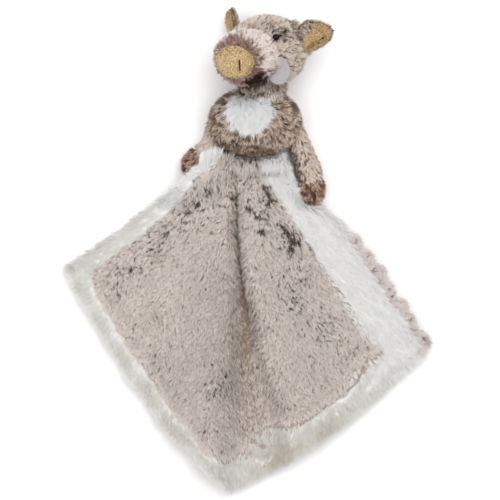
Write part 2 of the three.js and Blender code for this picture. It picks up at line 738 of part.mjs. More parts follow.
// One layer of cloth over a block of facets, drawn back by half a gap at its sewn sides
function clothSlab(fromU, toU, fromV, toV, level, thick, sewn, freeEdge) {
  const inset = (lines, i, from, to, length, sewnFrom, sewnTo) => {
    if (i === from && sewnFrom) return lines[i] + half(GAP) / length;
    if (i === to && sewnTo) return lines[i] - half(GAP) / length;
    return lines[i];
  };
  const points = [];
  const countV = toV - fromV + 1;
  for (let i = fromU; i <= toU; i += 1) {
    for (let j = fromV; j <= toV; j += 1) {
      const u = inset(linesU, i, fromU, toU, sideU, sewn.left, sewn.right);
      const v = inset(linesV, j, fromV, toV, sideV, sewn.top, sewn.bottom);
      const spot = planAt(u, v);
      const low = foldHeight(spot.x, spot.y) + level;
      const full = freeEdge(i, j) ? thick * EDGE_SHARE : thick;
      points.push(vec(spot.x, spot.y, low));
      points.push(vec(spot.x, spot.y, low + full));
    }
  }
  const at = (i, j, top) => 2 * ((i - fromU) * countV + (j - fromV)) + top;
  const index = [];
  for (let i = fromU; i < toU; i += 1) {
    for (let j = fromV; j < toV; j += 1) {
      index.push(at(i, j, 1), at(i + 1, j, 1), at(i + 1, j + 1, 1));
      index.push(at(i, j, 1), at(i + 1, j + 1, 1), at(i, j + 1, 1));
      index.push(at(i, j, 0), at(i + 1, j + 1, 0), at(i + 1, j, 0));
      index.push(at(i, j, 0), at(i, j + 1, 0), at(i + 1, j + 1, 0));
    }
  }
  const wall = (i0, j0, i1, j1) => {
    index.push(at(i0, j0, 0), at(i1, j1, 0), at(i1, j1, 1));
    index.push(at(i0, j0, 0), at(i1, j1, 1), at(i0, j0, 1));
  };
  for (let i = fromU; i < toU; i += 1) {
    wall(i, fromV, i + 1, fromV);
    wall(i + 1, toV, i, toV);
  }
  for (let j = fromV; j < toV; j += 1) {
    wall(toU, j, toU, j + 1);
    wall(fromU, j + 1, fromU, j);
  }
  const geometry = new THREE.BufferGeometry().setFromPoints(points);
  geometry.setIndex(index);
  return toSolid(geometry);
}

// What the blanket keeps clear of: the rolled seam, all above it, and the arm beside it
function blanketLimits() {
  const across = new THREE.Matrix4().makeRotationY(half(Math.PI)).setPosition(seamCentre);
  const roll = moved(rod(SEAM_RADIUS + PLAY, -FAR, FAR, SEAM_SIDES), across);
  const above = box(vec(-FAR, seamCentre.y, -FAR), vec(FAR, FAR, FAR));
  const tallness = 8;
  const tall = new THREE.Matrix4().makeScale(1, 1, tallness);
  tall.setPosition(0, 0, (1 - tallness) * lying(PAW_RADIUS));
  return roll.add(above).add(moved(armSolid('right', SWING_CLEARANCE), tall));
}

function makeBlanket() {
  const limits = blanketLimits();
  const frontLevel = BACK_THICK + GAP;
  const never = () => false;
  const make = (...args) => clothSlab(...args).subtract(limits);
  return {
    blanket_back: make(0, lastU, 0, lastV, 0, BACK_THICK, {}, never),
    blanket_centre: make(
      innerLeft, innerRight, innerTop, innerBottom, frontLevel, CENTRE_THICK,
      { left: true, right: true, top: true, bottom: true }, never,
    ),
    border_top_left: make(
      0, innerLeft, innerTop, innerBottom, frontLevel, BORDER_THICK,
      { right: true, top: true, bottom: true }, (i) => i === 0,
    ),
    border_bottom_right: make(
      innerRight, lastU, innerTop, innerBottom, frontLevel, BORDER_THICK,
      { left: true, top: true, bottom: true }, (i) => i === lastU,
    ),
    border_top_right: make(
      0, lastU, frontTop, innerTop, frontLevel, BORDER_THICK,
      { bottom: true }, (i, j) => i === 0 || i === lastU || j === frontTop,
    ),
    border_bottom_left: make(
      0, lastU, innerBottom, lastV, frontLevel, BORDER_THICK,
      { top: true }, (i, j) => i === 0 || i === lastU || j === lastV,
    ),
  };
}

// Materials
const colours = {
  frosted: { color: 0xb7a89d, roughness: 0.95 },
  white: { color: 0xe8e6e2, roughness: 0.95 },
  back: { color: 0xa9978a, roughness: 0.95 },
  tan: { color: 0xd2b07a, roughness: 0.85 },
  rust: { color: 0x7b5444, roughness: 0.95 },
  felt: { color: 0xdfe2e6, roughness: 0.9 },
  black: { color: 0x0c0a0a, roughness: 0.12 },
  thread: { color: 0x3a2a1a, roughness: 0.8 },
  plastic: { color: 0xe9e9e4, roughness: 0.5 },
  filling: { color: 0xf3f1ec, roughness: 1 },
};

function addMesh(group, name, solid, finish) {
  const geometry = toGeometry(solid);
  geometry.translate(-group.userData.centre.x, -group.userData.centre.y, -group.userData.centre.z);
  const material = new THREE.MeshStandardMaterial({ ...colours[finish], metalness: 0 });
  const mesh = new THREE.Mesh(geometry, material);
  mesh.name = name;
  group.add(mesh);
}

// A group at a piece's own centre, whose solids are given in its parent's frame
function groupAt(parent, centre) {
  const group = new THREE.Group();
  group.position.copy(centre);
  group.userData.centre = centre;
  parent.add(group);
  return group;
}

const lovey = new THREE.Group();

const torsoGroup = groupAt(lovey, torsoCentre);
const torso = makeTorso();
addMesh(torsoGroup, 'torso_skin', torso.torso_skin, 'frosted');
addMesh(torsoGroup, 'torso_stuffing', torso.torso_stuffing, 'filling');
addMesh(torsoGroup, 'belly_patch', torso.belly_patch, 'white');
addMesh(torsoGroup, 'waist_seam', makeSeam(), 'frosted');

const neckGroup = groupAt(lovey, neckCentre);
addMesh(neckGroup, 'neck', neckBall(0), 'frosted');

const headGroup = new THREE.Group();
headGroup.position.copy(headCentre);
headGroup.setRotationFromMatrix(headTurn);
headGroup.userData.centre = vec(0, 0);
lovey.add(headGroup);
const headFinishes = {
  head_skin: 'frosted',
  head_stuffing: 'filling',
  muzzle_skin: 'frosted',
  muzzle_stuffing: 'filling',
  snout_pad: 'tan',
  snout_stitch: 'thread',
  chin: 'frosted',
  eye_left: 'black',
  eye_right: 'black',
  eye_washer_left: 'plastic',
  eye_washer_right: 'plastic',
  tusk_left: 'felt',
  tusk_right: 'felt',
};
const head = makeHead();
for (const [name, finish] of Object.entries(headFinishes)) {
  addMesh(headGroup, name, head[name], finish);
}

for (const side of ['left', 'right']) {
  const earGroup = new THREE.Group();
  earPlace(side).decompose(earGroup.position, earGroup.quaternion, earGroup.scale);
  earGroup.userData.centre = vec(0, 0);
  headGroup.add(earGroup);
  const ear = makeEar(side);
  addMesh(earGroup, `ear_back_${side}`, ear.back, 'frosted');
  addMesh(earGroup, `ear_lining_${side}`, ear.lining, 'tan');
}

for (const side of ['left', 'right']) {
  const armGroup = groupAt(lovey, armPaths[side][0]);
  const arm = makeArm(side);
  addMesh(armGroup, `arm_skin_${side}`, arm.skin, 'frosted');
  addMesh(armGroup, `arm_stuffing_${side}`, arm.stuffing, 'filling');
  addMesh(armGroup, `paw_${side}`, arm.paw, 'rust');
}

const blanketGroup = groupAt(lovey, seamCentre);
const blanket = makeBlanket();
const blanketFinishes = {
  blanket_back: 'back',
  blanket_centre: 'frosted',
  border_top_left: 'white',
  border_top_right: 'white',
  border_bottom_left: 'white',
  border_bottom_right: 'white',
};
for (const [name, finish] of Object.entries(blanketFinishes)) {
  addMesh(blanketGroup, name, blanket[name], finish);
}

// The origin goes to the middle of the underside of the whole toy
lovey.updateMatrixWorld(true);
const bounds = new THREE.Box3().setFromObject(lovey, true);
lovey.position.set(-half(bounds.min.x + bounds.max.x), -half(bounds.min.y + bounds.max.y), -bounds.min.z);

export default lovey;
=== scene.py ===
"""The looks of a plush comforter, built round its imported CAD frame.

Every soft solid of the frame is replaced by a smooth cloth body, a few millimetres slimmer, and
by a pile of tapered strands that brings it back to its outline. Lengths are in metres.
"""
import json
import math

import bmesh
import bpy
import numpy as np
from mathutils import Matrix, Vector
from mathutils.kdtree import KDTree


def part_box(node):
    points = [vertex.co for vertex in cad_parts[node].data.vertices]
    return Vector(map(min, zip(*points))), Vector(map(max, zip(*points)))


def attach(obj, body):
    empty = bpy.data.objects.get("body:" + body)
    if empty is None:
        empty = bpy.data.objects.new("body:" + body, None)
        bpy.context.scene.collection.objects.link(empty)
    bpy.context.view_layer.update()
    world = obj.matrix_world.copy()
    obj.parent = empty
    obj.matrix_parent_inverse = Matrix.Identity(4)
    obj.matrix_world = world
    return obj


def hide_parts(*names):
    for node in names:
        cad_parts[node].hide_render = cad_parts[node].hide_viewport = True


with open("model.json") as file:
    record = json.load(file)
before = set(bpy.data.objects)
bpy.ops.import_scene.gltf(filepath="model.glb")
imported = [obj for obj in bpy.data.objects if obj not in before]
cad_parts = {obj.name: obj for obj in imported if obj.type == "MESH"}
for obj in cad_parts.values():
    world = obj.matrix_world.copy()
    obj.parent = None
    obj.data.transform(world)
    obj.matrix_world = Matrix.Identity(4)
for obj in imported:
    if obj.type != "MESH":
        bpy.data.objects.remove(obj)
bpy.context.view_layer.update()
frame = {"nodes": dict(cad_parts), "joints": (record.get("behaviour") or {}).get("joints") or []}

MM = 0.001

# Camera: straight above, at the scale of the photograph
VIEW_WIDTH = 430 * MM
VIEW_CENTRE = (1.5 * MM, -1.5 * MM)
VIEW_LEVEL = 30 * MM
CAMERA_HEIGHT = 10.0
PHOTO_SCALE = VIEW_WIDTH / 500

# The blanket's plan, in millimetres from the middle of the waist seam, as in the part's source
CORNER_TOP = (6, 60)
CORNER_RIGHT = (151, -157)
CORNER_BOTTOM = (-24, -284)
CORNER_LEFT = (-166, -86)
BOW_TOP_LEFT = -9
BOW_TOP_RIGHT = 0
BOW_BOTTOM_LEFT = 13
BOW_BOTTOM_RIGHT = 10
TUCK_DEPTH = 20
TUCK_HALF_LENGTH = 28
TUCK_SHARE = 0.2
BORDER_TOP_LEFT = 19
BORDER_TOP_RIGHT = 30
BORDER_BOTTOM_LEFT = 15
BORDER_BOTTOM_RIGHT = 20
BACK_SHOWS = 9

# The long pleat: its crease, and how far its crests stand to the left and right of the crease,
# each as a distance down from the seam and a distance to the right of its middle or the crease
CREASE = [
    (0, -18), (24, -18), (60, -15), (100, -11), (127, -6), (157, -1.7), (190, 6.5), (240, 12), (290, 13),
]
PLEAT_LEFT = [(0, 4), (24, 5), (60, 10), (120, 21.5), (190, 43), (290, 58)]
PLEAT_RIGHT = [(0, 9), (120, 12), (190, 14), (290, 27)]
CREST_TOP = 15
CREST_BOTTOM = 12
VALLEY_OPENS = (0.35, 0.75)  # share of the way down over which the crease opens to a valley
VALLEY_FLOOR = 0.45  # share of the open valley's left half that is its flat floor
CREST_FALL = 40  # how far to the side of a crest the cloth comes down
SEAM_LEVEL = 14.65
SEAM_EASE = 32
SEAM_NEAR = 60
SEAM_FAR = 95
COVER_LEVEL = 23.7
COVER_FLAT = 5
COVER_FALL = 42
ARM_LEFT_BENDS = [(2.5, 12), (10, 21), (18.5, 29)]
ARM_RIGHT_BENDS = [(7, 19), (13, 35), (15.5, 52.5)]
SHOULDER_SIDE = 33.6
SHOULDER_DOWN = 7.6
PAW_RADIUS = 11.3

# Head, turned as in the part's source
HEAD_YAW = -30
HEAD_PITCH = 9
HEAD_ABOVE_NECK = 30.5 * MM


# Seeded noise, made on arrays so that it is quick

def hashed(cells, seed):
    """A repeatable number from 0 to 1 for each whole-number cell."""
    mix = (cells[..., 0] * 73856093) ^ (cells[..., 1] * 19349663) ^ (cells[..., 2] * 83492791)
    mix = mix ^ (seed * 97531)
    mix = (mix ^ (mix >> 13)) * 1274126177
    return ((mix ^ (mix >> 16)) & 0xFFFF) / 0xFFFF


def soft_noise(points, size, seed):
    """Smooth noise from 0 to 1 at an array of points, with patches of the given size."""
    scaled = np.asarray(points) / size
    cell = np.floor(scaled).astype(np.int64)
    part = scaled - cell
    part = part * part * (3 - 2 * part)
    total = 0
    for corner in np.ndindex(2, 2, 2):
        weight = np.prod(np.where(corner, part, 1 - part), axis=-1)
        total = total + weight * hashed(cell + np.array(corner), seed)
    return total


def smooth_step(low, high, value):
    share = np.clip((value - low) / (high - low), 0, 1)
    return share * share * (3 - 2 * share)


def unit(vectors):
    return vectors / np.maximum(np.linalg.norm(vectors, axis=-1, keepdims=True), 1e-12)


# Places taken from the frame

def middle_of(node):
    low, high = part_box(node)
    return np.array((low + high) / 2)


def joint_place(name):
    return np.array(next(j["pos_m"] for j in frame["joints"] if j["name"] == name))


def from_photo(x, y):
    """A pixel of the photograph in the row frame, in plan."""
    return np.array([(x - 250) * PHOTO_SCALE + VIEW_CENTRE[0], (250 - y) * PHOTO_SCALE + VIEW_CENTRE[1]])


def to_photo(place):
    """Where points of the row frame lie in the photograph, in pixels."""
    x = (place[:, 0] - VIEW_CENTRE[0]) / PHOTO_SCALE + 250
    y = 250 - (place[:, 1] - VIEW_CENTRE[1]) / PHOTO_SCALE
    return x, y


def spots(place, marks):
    """Share of dark pile round marks, each a photograph pixel's column and row and a size."""
    x, y = to_photo(place)
    total = np.zeros(len(place))
    for mark_x, mark_y, size in marks:
        total = np.maximum(total, np.exp(-((x - mark_x) ** 2 + (y - mark_y) ** 2) / size ** 2))
    return total


SEAM = middle_of("waist_seam")
TORSO = middle_of("torso_skin")
SNOUT = middle_of("snout_pad")
SNOUT_RADIUS = 16 * MM
HEAD = joint_place("neck_turn") + np.array([0, HEAD_ABOVE_NECK, 0])
HEAD_TURN = np.array(
    Matrix.Rotation(math.radians(HEAD_YAW), 3, "Y") @ Matrix.Rotation(math.radians(HEAD_PITCH), 3, "X")
)


def in_head(points):
    """Row-frame points in the head's own frame: X sideways, Y to the crown, Z along the snout."""
    return (points - HEAD) @ HEAD_TURN


def from_head(vectors):
    return vectors @ HEAD_TURN.T


# Materials

def linear(code):
    """A web colour such as c8b4a6 as linear red, green and blue."""
    values = [int(code[i:i + 2], 16) / 255 for i in (0, 2, 4)]
    return tuple(v / 12.92 if v <= 0.04045 else ((v + 0.055) / 1.055) ** 2.4 for v in values)


def new_material(name):
    material = bpy.data.materials.new(name)
    material.use_nodes = True
    tree = material.node_tree
    return material, tree, tree.nodes["Principled BSDF"]


def ramp(tree, factor, stops):
    node = tree.nodes.new("ShaderNodeValToRGB")
    items = node.color_ramp.elements
    while len(items) < len(stops):
        items.new(0.5)
    for item, (place, code) in zip(items, stops):
        item.position = place
        item.color = (*linear(code), 1)
    tree.links.new(factor, node.inputs["Fac"])
    return node.outputs["Color"]


def mixed(tree, factor, first, second):
    node = tree.nodes.new("ShaderNodeMix")
    node.data_type = "RGBA"
    tree.links.new(factor, node.inputs["Factor"])
    tree.links.new(first, node.inputs["A"])
    tree.links.new(second, node.inputs["B"])
    return node.outputs["Result"]


def pile_material(name, light, dark, sheen=0.05):
    """Strands run from root to tip through two ramps, mixed by each strand's own tone."""
    material, tree, shader = new_material(name)
    facts = tree.nodes.new("ShaderNodeAttribute")
    facts.attribute_name = "pile"
    parts = tree.nodes.new("ShaderNodeSeparateColor")
    tree.links.new(facts.outputs["Color"], parts.inputs["Color"])
    pale = ramp(tree, parts.outputs["Green"], light)
    deep = ramp(tree, parts.outputs["Green"], dark)
    tree.links.new(mixed(tree, parts.outputs["Red"], deep, pale), shader.inputs["Base Color"])
    shader.inputs["Roughness"].default_value = 0.8
    shader.inputs["Specular IOR Level"].default_value = 0.1
    shader.inputs["Sheen Weight"].default_value = sheen
    shader.inputs["Sheen Roughness"].default_value = 0.5
    return material


def cloth_material(name, low, high, grain, bump=0.4):
    """Knitted backing or felt: a mottled colour with a fine bump."""
    material, tree, shader = new_material(name)
    place = tree.nodes.new("ShaderNodeTexCoord")
    noise = tree.nodes.new("ShaderNodeTexNoise")
    noise.inputs["Scale"].default_value = 1 / grain
    noise.inputs["Detail"].default_value = 4
    tree.links.new(place.outputs["Object"], noise.inputs["Vector"])
    colour = ramp(tree, noise.outputs["Fac"], [(0.3, low), (0.7, high)])
    tree.links.new(colour, shader.inputs["Base Color"])
    raised = tree.nodes.new("ShaderNodeBump")
    raised.inputs["Strength"].default_value = bump
    raised.inputs["Distance"].default_value = 0.5 * MM
    tree.links.new(noise.outputs["Fac"], raised.inputs["Height"])
    tree.links.new(raised.outputs["Normal"], shader.inputs["Normal"])
    shader.inputs["Roughness"].default_value = 0.95
    shader.inputs["Specular IOR Level"].default_value = 0.1
    return material


def plain_material(name, colour, roughness, specular=0.5):
    """One colour all over."""
    material, _, shader = new_material(name)
    shader.inputs["Base Color"].default_value = (*colour, 1)
    shader.inputs["Roughness"].default_value = roughness
    shader.inputs["Specular IOR Level"].default_value = specular
    return material


# Each pile's two ramps: shares of the way from root to tip and web colours
FROSTED_PALE = [(0, "948479"), (0.25, "bfb1a6"), (0.6, "dbd0c8"), (1, "f0e9e3")]
FROSTED_DEEP = [(0, "0f0705"), (0.5, "24140d"), (1, "4a3124")]
# Warm browns that paint the shade in the pleat's valley
VALLEY_SHADE_PALE = [(0, "6b5341"), (0.4, "977e6a"), (1, "bfab99")]
TIPPED_PALE = [(0, "2c1d17"), (0.4, "6f5643"), (0.68, "d3baa6"), (1, "faead9")]
TIPPED_DEEP = [(0, "120a07"), (0.6, "2c1b13"), (1, "533a2c")]
COAT_PALE = [(0, "5c4537"), (0.3, "b29886"), (0.65, "e4d4c5"), (1, "faf0e5")]
MUZZLE_PALE = [(0, "7d6558"), (0.3, "c6b1a6"), (0.65, "eae0d9"), (1, "faf5f1")]
MUZZLE_DEEP = [(0, "1c0f0a"), (0.5, "57301f"), (1, "9c6a55")]
DARKEST = [(0, "0a0605"), (0.5, "1a100b"), (1, "3d261b")]
RUFFLE_PALE = [(0, "ab9b93"), (0.4, "d9cdc7"), (1, "f2eae7")]
WHITE_PALE = [(0, "cecfd1"), (0.3, "e3e5e6"), (1, "f2f3f4")]
WHITE_DEEP = [(0, "9c9384"), (0.5, "b3aa99"), (1, "c9c1b0")]
RUST_PALE = [(0, "3f271e"), (0.5, "96705d"), (0.8, "d3b3a1"), (1, "f3e2d7")]
RUST_DEEP = [(0, "24140e"), (0.55, "563628"), (1, "8a604f")]
TAN_PALE = [(0, "9c7a45"), (0.5, "d6b47c"), (1, "fbebc8")]
TAN_DEEP = [(0, "3a2813"), (0.6, "8c6c3e"), (1, "bd9a63")]

materials = {
    "frosted": pile_material("frosted_pile", FROSTED_PALE, FROSTED_DEEP),
    "tipped": pile_material("tipped_pile", TIPPED_PALE, TIPPED_DEEP),
    "coat": pile_material("coat_pile", COAT_PALE, TIPPED_DEEP),
    "muzzle": pile_material("muzzle_pile", MUZZLE_PALE, MUZZLE_DEEP),
    "ruffle": pile_material("ruffle_pile", RUFFLE_PALE, TIPPED_DEEP),
    "valley": pile_material("valley_shade_pile", VALLEY_SHADE_PALE, FROSTED_DEEP),
    "darkest": pile_material("darkest_pile", DARKEST, DARKEST),
    "white": pile_material("white_pile", WHITE_PALE, WHITE_DEEP, 0.2),
    "rust": pile_material("rust_pile", RUST_PALE, RUST_DEEP),
    "tan": pile_material("tan_velour", TAN_PALE, TAN_DEEP, 0.2),
    "backing": cloth_material("brown_backing", "2c1e18", "6d584c", 2 * MM),
    "pale_backing": cloth_material("greige_backing", "85766d", "ab9b8f", 2 * MM),
    "rose_backing": cloth_material("rose_backing", "b3a398", "d2c5bc", 2 * MM),
    "white_backing": cloth_material("white_backing", "cbc9c5", "dedcd8", 2 * MM),
    "tan_backing": cloth_material("tan_backing", "a8864f", "c9a66c", 1 * MM),
    "felt": cloth_material("white_felt", "9c9899", "aeaaab", 0.8 * MM, 0.25),
    "thread": plain_material("dark_thread", linear("2a1c14"), 0.6),
    "gloss": plain_material("black_eye", (0.004, 0.003, 0.003), 0.1, 0.2),
    "floor": plain_material("pale_floor", (0.93, 0.93, 0.93), 0.9),
}


# Meshes from arrays

def linked(name, data):
    """A new object in the scene."""
    obj = bpy.data.objects.new(name, data)
    bpy.context.scene.collection.objects.link(obj)
    return obj


def mesh_object(name, points, faces, material):
    """A mesh object from an array of points and an array of faces with equal corner counts."""
    points = np.asarray(points, np.float32)
    faces = np.asarray(faces, np.int32)
    mesh = bpy.data.meshes.new(name)
    mesh.vertices.add(len(points))
    mesh.vertices.foreach_set("co", points.ravel())
    mesh.loops.add(faces.size)
    mesh.loops.foreach_set("vertex_index", faces.ravel())
    mesh.polygons.add(len(faces))
    mesh.polygons.foreach_set("loop_start", np.arange(len(faces), dtype=np.int32) * faces.shape[1])
    mesh.update(calc_edges=True)
    mesh.validate()
    mesh.shade_smooth()
    mesh.materials.append(material)
    return linked(name, mesh)


def array_of(items, name, width, kind=np.float32):
    """One property of all the items of a mesh, as rows of an array."""
    found = np.empty(len(items) * width, kind)
    items.foreach_get(name, found)
    return found.reshape(-1, width)


def points_of(mesh):
    return array_of(mesh.vertices, "co", 3).astype(float)


def normals_of(mesh):
    return array_of(mesh.vertex_normals, "vector", 3).astype(float)


def surface(obj):
    """Points, normals and triangles of a mesh object, as arrays."""
    mesh = obj.data
    mesh.calc_loop_triangles()
    return points_of(mesh), normals_of(mesh), array_of(mesh.loop_triangles, "vertices", 3, np.int32)


def joined(skins):
    """Several surfaces as one."""
    points, normals, triangles = zip(*skins)
    starts = np.cumsum([0] + [len(p) for p in points[:-1]])
    moved = [corners + start for corners, start in zip(triangles, starts)]
    return np.concatenate(points), np.concatenate(normals), np.concatenate(moved)


def set_points(mesh, points):
    mesh.vertices.foreach_set("co", np.asarray(points, np.float32).ravel())
    mesh.update()


def relaxed(mesh, rounds):
    """Evens out a mesh by moving each point towards its neighbours' middle."""
    edges = array_of(mesh.edges, "vertices", 2, np.int32)
    first, second = edges.T
    points = points_of(mesh)
    count = np.bincount(edges.ravel(), minlength=len(points))[:, None]
    for _ in range(rounds):
        total = np.zeros_like(points)
        np.add.at(total, first, points[second])
        np.add.at(total, second, points[first])
        points = 0.4 * points + 0.6 * total / np.maximum(count, 1)
    set_points(mesh, points)


def largest_part(mesh):
    """Removes everything but the outer surface, such as a bubble left between two layers."""
    shape = bmesh.new()
    shape.from_mesh(mesh)
    left = set(shape.verts)
    parts = []
    while left:
        group = {left.pop()}
        edge = list(group)
        while edge:
            near = {e.other_vert(v) for v in edge for e in v.link_edges} & left
            left -= near
            group |= near
            edge = list(near)
        parts.append(group)
    keep = max(parts, key=len)
    bmesh.ops.delete(shape, geom=[v for v in shape.verts if v not in keep], context="VERTS")
    shape.to_mesh(mesh)
    shape.free()


def stuffed_body(
    name, nodes, body, voxel, inset, rounds=6, backing="backing",
):
    """One smooth closed body round CAD nodes that lie on each other, slimmer by the inset.

    body is what it moves with, and backing its material.
    """
    points, _, triangles = joined([surface(frame["nodes"][node]) for node in nodes])
    rough = mesh_object(name + "_rough", points, triangles, materials[backing])
    remesh = rough.modifiers.new("remesh", "REMESH")
    remesh.mode = "VOXEL"
    remesh.voxel_size = voxel
    shape = bpy.data.meshes.new_from_object(rough.evaluated_get(bpy.context.evaluated_depsgraph_get()))
    bpy.data.objects.remove(rough)
    largest_part(shape)
    relaxed(shape, rounds)
    set_points(shape, points_of(shape) - normals_of(shape) * inset)
    relaxed(shape, 2)
    shape.name = name
    shape.shade_smooth()
    obj = linked(name, shape)
    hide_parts(*nodes)
    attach(obj, body)
    return obj


# Pile

def weighed(skin, where):
    """The area of each triangle of a surface, times an optional weight."""
    points, normals, triangles = skin
    corners = points[triangles]
    sides = corners[:, 1] - corners[:, 0], corners[:, 2] - corners[:, 0]
    area = np.linalg.norm(np.cross(*sides), axis=1) / 2
    if where is None:
        return area
    return area * where(corners.mean(axis=1), unit(normals[triangles].sum(axis=1)))


def scattered(skin, area, count, random):
    """Random places and normals on a surface, even by the weighed area of its triangles."""
    points, normals, triangles = skin
    picked = random.choice(len(area), count, p=area / area.sum())
    first, second = random.random((2, count))
    beyond = first + second > 1
    first[beyond], second[beyond] = 1 - first[beyond], 1 - second[beyond]
    shares = np.stack([1 - first - second, first, second], axis=1)[..., None]
    place = (points[triangles[picked]] * shares).sum(axis=1)
    normal = unit((normals[triangles[picked]] * shares).sum(axis=1))
    return place, normal


def nearest(points, centres):
    tree = KDTree(len(centres))
    for i, centre in enumerate(centres):
        tree.insert(centre, i)
    tree.balance()
    return np.array([tree.find(p)[1] for p in points])


FLOOR_CLEAR = 0.3 * MM
MOST_TRIANGLES = 190000
LEVELS_LONG = (0, 0.35, 0.72)
LEVELS_SHORT = (0, 0.5)
DARK_BELOW = 0.35  # tone under which a tuft is drawn together to a dark dash
BAKE_SPREAD = 0.006  # half of a strand's width on the bake's map
BAKE_LENGTH = 0.96
BAKE_MARGIN = 0.02
LIFT_SPREAD = 6  # degrees by which the strands' lift varies
MOST_ROLL = 55  # degrees that a strand is turned about its own length at most


def by_luck(place, luck):
    return luck


def pile(
    name, skin, body, kind, seed, density, length, width, lift, comb, tone=by_luck, tuft=6, pull=0.6,
    scatter=20, levels=LEVELS_SHORT, where=None, softness=0.65, ragged=0.16, fleck=0.06, skyward=0.0,
    pinch=0.9,
):
    """Tapered strands on a surface, combed one way and gathered in tufts.

    kind names the material.
    density is in strands per square millimetre and tuft in strands. length is a number or a
    function of the place, and lift the angle off the cloth at root and tip. comb gives the way
    the pile lies, tone 0 for dark and 1 for pale strands, and where the pile's share at a place.
    pull draws a tuft's tips together, and pinch those of dark tufts at least. scatter is in
    degrees. ragged and fleck vary length and tone. softness is the cloth normal's part in the
    shading, and skyward tilts the shading upwards.
    """
    random = np.random.default_rng(seed)
    area = weighed(skin, where)
    count = int(area.sum() / MM ** 2 * density)
    place, normal = scattered(skin, area, count, random)
    centres = scattered(skin, area, max(1, count // tuft), random)[0]
    near = nearest(place, centres)
    luck = random.random(len(centres))[near]
    reach = length(place) if callable(length) else np.full(count, length)
    reach = reach * random.uniform(1 - ragged, 1 + ragged, len(centres))[near]
    reach = reach * random.uniform(1 - ragged, 1 + ragged, count)
    turn = random.normal(0, scatter, len(centres))[near] + random.normal(0, scatter * 0.5, count)
    turn = np.radians(turn)[:, None]

    lie = comb(place, normal)
    lie = unit(lie - (lie * normal).sum(axis=1, keepdims=True) * normal)
    across = np.cross(normal, lie)
    lie = lie * np.cos(turn) + across * np.sin(turn)
    across = np.cross(normal, lie)
    jump = random.normal(0, LIFT_SPREAD, count)
    rise = np.radians(lift[0] + jump)[:, None]
    fall = np.radians(lift[1] + jump)[:, None]
    start = np.cos(rise) * lie + np.sin(rise) * normal
    end = np.cos(fall) * lie + np.sin(fall) * normal
    gather = centres[near] - place
    gather -= (gather * normal).sum(axis=1, keepdims=True) * normal

    shade = np.clip(tone(place, luck) + random.normal(0, fleck, count), 0.02, 0.98)
    pulled = np.where(shade < DARK_BELOW, max(pull, pinch), pull)[:, None]
    roll = np.radians(random.uniform(-MOST_ROLL, MOST_ROLL, count))[:, None]
    flat = unit(np.cross(start + end, across))
    wide = across * np.cos(roll) + flat * np.sin(roll)
    half = width * (0.7 + 0.6 * random.random(count))[:, None] / 2

    def spine(share):
        path = share * start + 0.5 * share ** 2 * (end - start)
        return place + reach[:, None] * path + pulled * share ** 1.5 * gather

    rows = []
    shares = []
    # One row of points for each level, and a tip
    for level in levels:
        slim = half * (1 - 0.35 * level)
        middle = spine(level)
        rows += [middle - wide * slim, middle + wide * slim]
        shares += [level, level]
    rows.append(spine(1.0))
    shares.append(1.0)
    corners = len(rows)
    points = np.stack(rows, axis=1)
    points[..., 2] = np.maximum(points[..., 2], FLOOR_CLEAR)

    facing = unit(flat * np.cos(roll) - across * np.sin(roll))
    shading = unit(softness * normal + (1 - softness) * facing + np.array([0, 0, skyward]))
    order = np.argsort(place @ np.array([0.3, -1, 0]), kind="stable")
    parts = math.ceil(count * (corners - 2) / MOST_TRIANGLES)
    for part, chosen in enumerate(np.array_split(order, parts)):
        part_name = name if parts == 1 else f"{name}_{part + 1}"
        obj = strand_mesh(part_name, points[chosen], shading[chosen], shade[chosen], shares, kind)
        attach(obj, body)


def strand_mesh(name, points, shading, shade, shares, kind):
    """A mesh of strands with their shading normals, tones and bake map."""
    count, corners = points.shape[:2]
    pattern = []
    for first in range(0, corners - 3, 2):
        pattern += [(first + 1, first, first + 2), (first + 1, first + 2, first + 3)]
    pattern.append((corners - 2, corners - 3, corners - 1))
    faces = (np.arange(count)[:, None, None] * corners + np.array(pattern)[None]).reshape(-1, 3)
    obj = mesh_object(name, points.reshape(-1, 3), faces, materials[kind])
    obj.data.normals_split_custom_set_from_vertices(np.repeat(shading, corners, axis=0).astype(np.float32))

    facts = np.ones((count, corners, 4), np.float32)
    facts[..., 0] = shade[:, None]
    facts[..., 1] = np.array(shares)[None]
    facts[..., 2] = 0
    attribute = obj.data.color_attributes.new("pile", "FLOAT_COLOR", "POINT")
    attribute.data.foreach_set("color", facts.ravel())

    # The bake's map is laid out by tone and by the way along, so that like strands share a spot
    sides = np.array([-1, 1] * (corners // 2) + [0]) * BAKE_SPREAD
    spot = np.empty((count, corners, 2))
    spot[..., 0] = shade[:, None] + sides
    spot[..., 1] = np.array(shares) * BAKE_LENGTH + BAKE_MARGIN
    layer = obj.data.uv_layers.new(name="OFBake")
    layer.data.foreach_set("uv", spot.reshape(-1, 2)[faces.ravel()].astype(np.float32).ravel())
    return obj


def towards(direction):
    """Pile that lies one way."""
    direction = np.array(direction, float)
    return lambda place, normal: np.broadcast_to(direction, place.shape) + 0.0


def away_from(centre, extra=(0, 0, 0)):
    """Pile that lies away from a point, drawn a little by an extra direction."""
    centre = np.array(centre, float)
    return lambda place, normal: unit(place - centre) + np.array(extra)


def sprinkled(dark_share, dark=0.1, pale=0.85, patch=12 * MM, seed=1):
    """Mostly pale strands with dark tufts, more of them in some patches."""
    def tone(place, luck):
        share = dark_share * (1 + 2.4 * (soft_noise(place, patch, seed) - 0.5))
        veil = 0.18 * (soft_noise(place, patch * 0.4, seed + 5) - 0.5)
        return np.where(luck < share, dark + 0.3 * luck, pale + veil)
    return tone


def shaded(share, marks, weight, dark, varied, pale):
    """Pale strands with a share of dark ones, given by a function of the place and by marks."""
    def tone(place, luck):
        dark_share = share(place) + weight * spots(place, marks)
        return np.where(luck < dark_share, dark + varied * luck, pale)
    return tone


# Blanket

